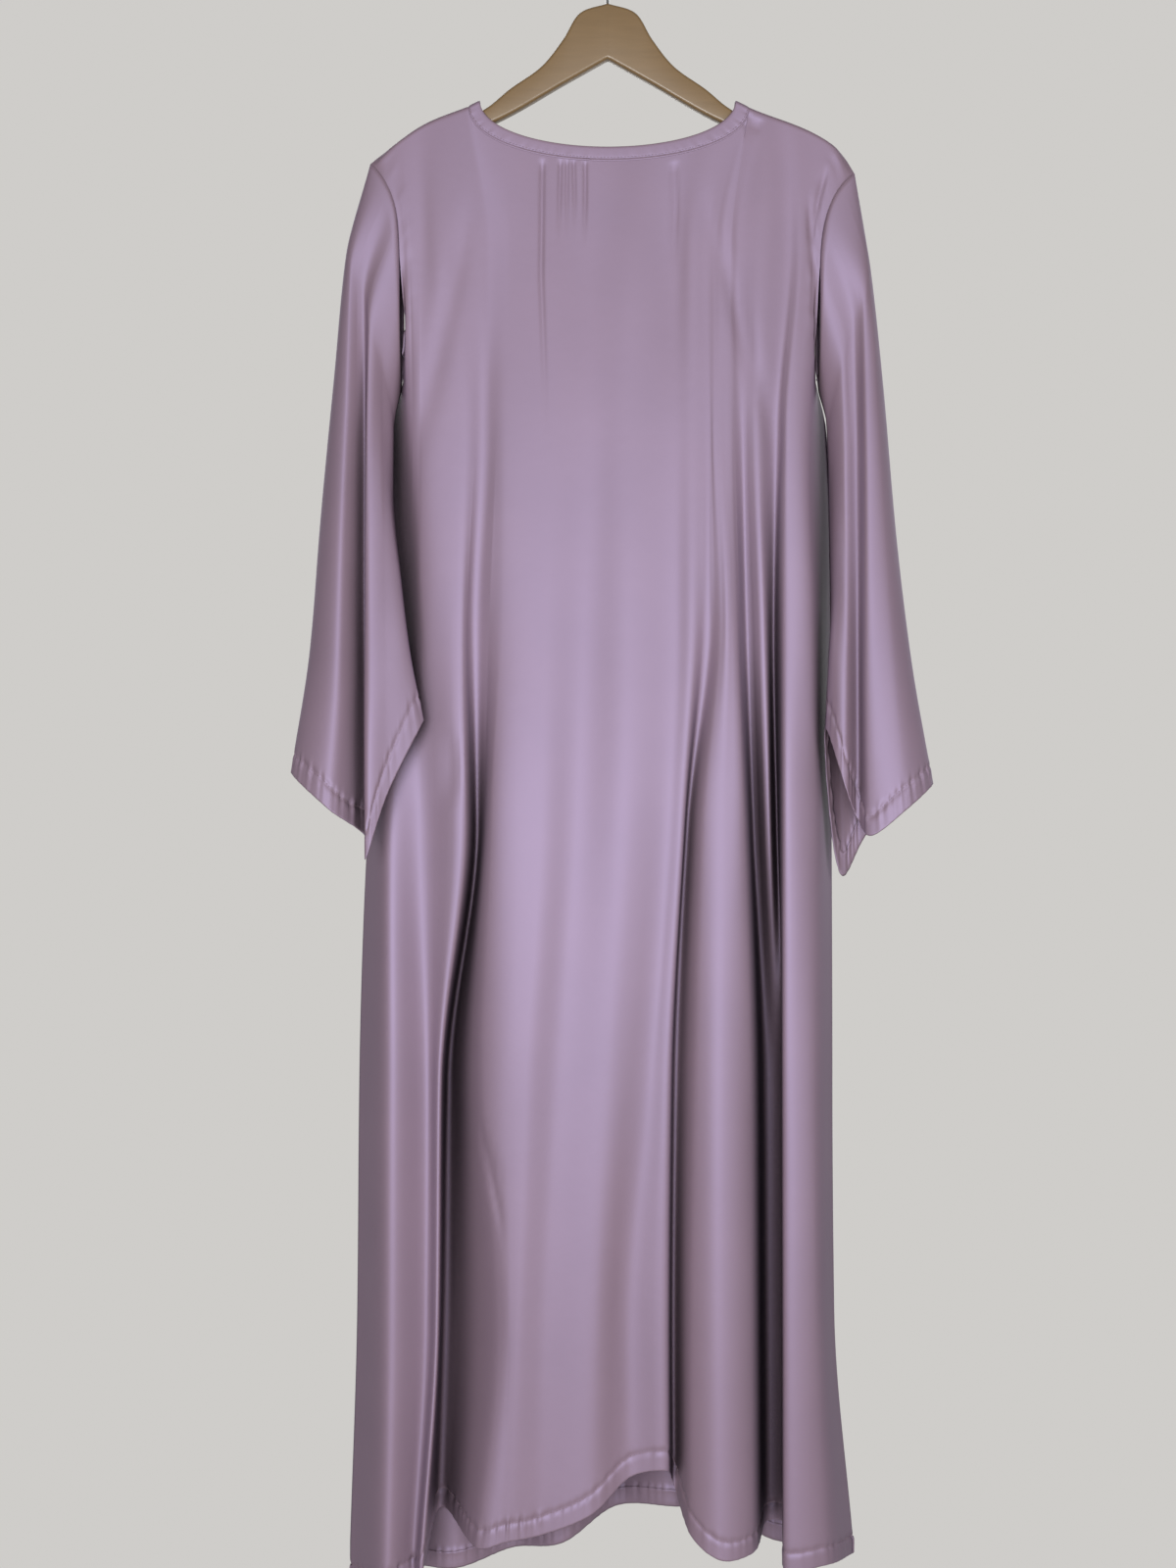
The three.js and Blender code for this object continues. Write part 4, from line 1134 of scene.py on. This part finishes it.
# Half of the hanger's outline, from the hump down to the arm's end and back underneath
HANGER_TOP = -72
HANGER_THICKNESS = 12
HANGER_STEPS = 90
EDGE_STEPS = 13
HANGER_UPPER = (
    (0, HANGER_TOP), (26, -81), (42, -106), (62, -131), (92, -152.5), (112, -169),
    (131, -179.5), (150, -182.6), (168, -189), (190, -201.5), (200, -209.5), (205, -218),
)
HANGER_UNDER = ((205, -218), (195, -223), (162, -206), (99, -180), (40, -146.5), (0, -124))


def hanger_outline():
    """The board's outline as (x, z): its upper and under edges to the right, then the left."""
    curves = []
    for places in (HANGER_UPPER, HANGER_UNDER):
        points = [(x, z, 0) for x, z in places]
        even = even_places(points, False, HANGER_STEPS)
        curves.append(catmull_rom(points, False, even)[:, :2])
    right = np.vstack([curves[0], curves[1][1:]])
    left = right[1:-1][::-1] * [-1, 1]
    return np.vstack([right, left])


def hanger_caps(count):
    """Faces that fill the board's outline, from its upper edge down to its under edge."""
    faces = []
    half = 2 * HANGER_STEPS - 1
    for k in range(HANGER_STEPS - 1):
        right = [k, k + 1, half - 2 - k, half - 1 - k]
        left = [(count - i) % count for i in reversed(right)]
        faces += [list(dict.fromkeys(right)), list(dict.fromkeys(left))]
    return faces


def board_loops(outline, radius):
    """Copies of the board's outline from its back to its front, drawn in at both rounded edges."""
    run = np.roll(outline, -1, axis=0) - np.roll(outline, 1, axis=0)
    run /= np.linalg.norm(run, axis=1, keepdims=True)
    inward = np.stack([run[:, 1], -run[:, 0]], axis=1)
    flat = HANGER_THICKNESS / 2 - radius
    loops = []
    for angle in np.linspace(-90, 90, EDGE_STEPS):
        turn = math.radians(angle)
        depth = math.copysign(flat, angle) + radius * math.sin(turn) if angle else 0
        places = outline + inward * radius * (1 - math.cos(turn))
        loops.append(np.column_stack([places[:, 0], np.full(len(places), depth), places[:, 1]]))
    return loops


class ABAYA_OT_hanger(bpy.types.Operator):
    """Make the wooden board with its rounded edges."""

    bl_idname = "abaya.make_hanger"
    bl_label = "Hanger"

    def execute(self, context):
        outline = hanger_outline()
        loops = board_loops(outline, context.scene.abaya_hanger.edge_round / MM)
        count = len(outline)
        last = (EDGE_STEPS - 1) * count
        faces = tube_faces(EDGE_STEPS, count)
        for face in hanger_caps(count):
            faces += [face[::-1], [last + i for i in face]]
        board = mesh_object("hanger_wood", np.vstack(loops), faces, wood_material())
        fit(board, "hanger_board")
        return {"FINISHED"}


# The hook: its wire leaves the board, turns once round over the rod and ends in the open
HOOK_INSIDE = 17
STEM_DEPTH = 21.7
STEM = ((0, HANGER_TOP - STEM_DEPTH), (0, HANGER_TOP), (0, -52), (3.5, -42))
HOOK_TURN = range(-40, 191, 23)
HOOK_RINGS = 150
WIRE_SIDES = 20
TIP_RINGS = ((0.25, 0.92), (0.45, 0.7), (0.5, 0.35))


def hook_path(wire):
    """The middle line of the hook's wire in the plane of the hanger, as (x, z), to its round tip,
    and the share of its thickness at each place."""
    radius = HOOK_INSIDE + wire / 2
    places = [(x, z, 0) for x, z in STEM]
    for degrees in HOOK_TURN:
        angle = math.radians(degrees)
        places.append((radius * math.cos(angle), radius * math.sin(angle) - HOOK_INSIDE, 0))
    line = catmull_rom(places, False, even_places(places, False, HOOK_RINGS))[:, :2]
    run = line[-1] - line[-2]
    run /= np.linalg.norm(run)
    tip = [line[-1] + run * wire * away for away, _ in TIP_RINGS]
    sizes = [1] * HOOK_RINGS + [size for _, size in TIP_RINGS]
    return np.vstack([line, tip]), np.array(sizes, float)


def wire_points(line, reach):
    """Points in rings round a line in the plane of the hanger."""
    along = np.gradient(line, axis=0)
    along /= np.linalg.norm(along, axis=1, keepdims=True)
    turns = 2 * np.pi * np.arange(WIRE_SIDES) / WIRE_SIDES
    return np.stack([
        line[:, :1] + reach * np.cos(turns) * along[:, 1:],
        reach * np.sin(turns),
        line[:, 1:] - reach * np.cos(turns) * along[:, :1],
    ], axis=2).reshape(-1, 3)


class ABAYA_OT_hook(bpy.types.Operator):
    """Bend the chrome wire of the hook out of the board and over the rod."""

    bl_idname = "abaya.make_hook"
    bl_label = "Hook"

    def execute(self, context):
        wire = context.scene.abaya_hanger.wire / MM
        line, sizes = hook_path(wire)
        points = wire_points(line, wire / 2 * sizes[:, None])
        faces = tube_faces(len(line), WIRE_SIDES) + end_faces(len(line), WIRE_SIDES)
        hook = mesh_object("hook_chrome", points, faces, chrome_material())
        fit(hook, "hook_wire")
        return {"FINISHED"}


# Soft lights: place, size and share of the key power. All aim at the garment's middle.
LIGHTS = table(("name", "place", "size", "share"), [
    ("front softbox", (-0.3, -2.7, -0.75), 1.3, 1.0),
    ("right softbox", (1.5, -2.3, -0.4), 1.0, 0.3),
    ("back softbox", (-1.2, 2.8, 0.6), 2.4, 0.5),
    ("back right softbox", (1.8, 2.6, 0.3), 2.4, 0.4),
])

WALL_COLOUR = (0.93, 0.91, 0.88)
FLOOR_COLOURS = ((0.3, (0.40, 0.39, 0.37)), (0.7, (0.43, 0.42, 0.40)))
FLOOR_RADIUS = 0.55
FLOOR_SIDES = 96
SENSOR = 36
CAMERA_SIDE = -0.0184
CAMERA_HEIGHT = -0.8034


def lay_floor(height):
    """A pale round floor under the garment."""
    bpy.ops.mesh.primitive_circle_add(
        vertices=FLOOR_SIDES, radius=FLOOR_RADIUS, fill_type="NGON", location=(0, 0, height)
    )
    floor = bpy.context.active_object
    floor.name = "studio_floor"
    material, tree, shader = node_tree("pale_floor")
    place = add_node(tree, "ShaderNodeTexCoord").outputs["Object"]
    _, tone = mottled(tree, place, {"Scale": 2, "Detail": 3}, FLOOR_COLOURS)
    tree.links.new(tone, shader.inputs["Base Color"])
    set_inputs(shader, {"Roughness": 0.9})
    floor.data.materials.append(material)


def light_room(studio):
    """A world that is pale behind the garment, like a wall, and darker all round."""
    world = bpy.data.worlds.new("studio_air")
    bpy.context.scene.world = world
    world.use_nodes = True
    tree = world.node_tree
    air = tree.nodes["Background"]
    around = add_node(tree, "ShaderNodeTexCoord")
    parts = add_node(tree, "ShaderNodeSeparateXYZ")
    tree.links.new(around.outputs["Generated"], parts.inputs["Vector"])
    stops = ((0.35, shaded(WALL_COLOUR, studio.room)), (0.82, shaded(WALL_COLOUR, 1)))
    tree.links.new(colour_ramp(tree, parts.outputs["Y"], stops), air.inputs["Color"])
    set_inputs(air, {"Strength": studio.ambient})


def set_lights(power, aim):
    """Soft square lights that all point at one place."""
    for row in LIGHTS:
        lamp = bpy.data.lights.new(row["name"], "AREA")
        lamp.size = row["size"]
        lamp.energy = power * row["share"]
        light = bpy.data.objects.new(row["name"], lamp)
        light.location = row["place"]
        light.rotation_euler = (aim - light.location).to_track_quat("-Z", "Y").to_euler()
        light.visible_camera = False
        bpy.context.scene.collection.objects.link(light)


def set_camera(distance, view_height):
    """A level camera in front of the garment, which shows so much height at the garment."""
    camera_data = bpy.data.cameras.new("camera")
    camera = bpy.data.objects.new("camera", camera_data)
    bpy.context.scene.collection.objects.link(camera)
    camera_data.sensor_width = SENSOR
    camera_data.lens = SENSOR * distance / view_height
    camera.location = (CAMERA_SIDE, -distance, CAMERA_HEIGHT)
    camera.rotation_euler = (math.pi / 2, 0, 0)
    bpy.context.scene.camera = camera


class ABAYA_OT_studio(bpy.types.Operator):
    """Set up the pale floor and wall, the soft lights and the camera."""

    bl_idname = "abaya.make_studio"
    bl_label = "Studio"

    def execute(self, context):
        studio = context.scene.abaya_studio
        low, high = CAD_BOX
        lay_floor(low.z - studio.floor_drop)
        light_room(studio)
        set_lights(studio.key_power, Vector((0, 0, (low.z + high.z) / 2)))
        set_camera(studio.distance, studio.view_height)
        context.scene.view_settings.view_transform = "Standard"
        return {"FINISHED"}


class ABAYA_PT_sidebar(bpy.types.Panel):
    """Lists the makers of the pieces and their settings."""

    bl_idname = "ABAYA_PT_sidebar"
    bl_label = "Satin abaya"
    bl_space_type = "VIEW_3D"
    bl_region_type = "UI"
    bl_category = "Abaya"

    def draw(self, context):
        layout = self.layout
        for operator in OPERATORS:
            layout.operator(operator.bl_idname)
        for name, group in SETTINGS.items():
            box = layout.box()
            box.label(text=group.__doc__)
            for prop in group.__annotations__:
                box.prop(getattr(context.scene, name), prop)


OPERATORS = (
    ABAYA_OT_studio,
    ABAYA_OT_panels,
    ABAYA_OT_sleeves,
    ABAYA_OT_neck_band,
    ABAYA_OT_stitching,
    ABAYA_OT_hanger,
    ABAYA_OT_hook,
)
CLASSES = (*SETTINGS.values(), *OPERATORS, ABAYA_PT_sidebar)


def register():
    for cls in CLASSES:
        bpy.utils.register_class(cls)
    for name, group in SETTINGS.items():
        setattr(bpy.types.Scene, name, PointerProperty(type=group))


def unregister():
    for name in SETTINGS:
        delattr(bpy.types.Scene, name)
    for cls in reversed(CLASSES):
        bpy.utils.unregister_class(cls)


def main():
    register()
    for operator in OPERATORS:
        group, name = operator.bl_idname.split(".")
        getattr(getattr(bpy.ops, group), name)()


if __name__ == "__main__":
    main()
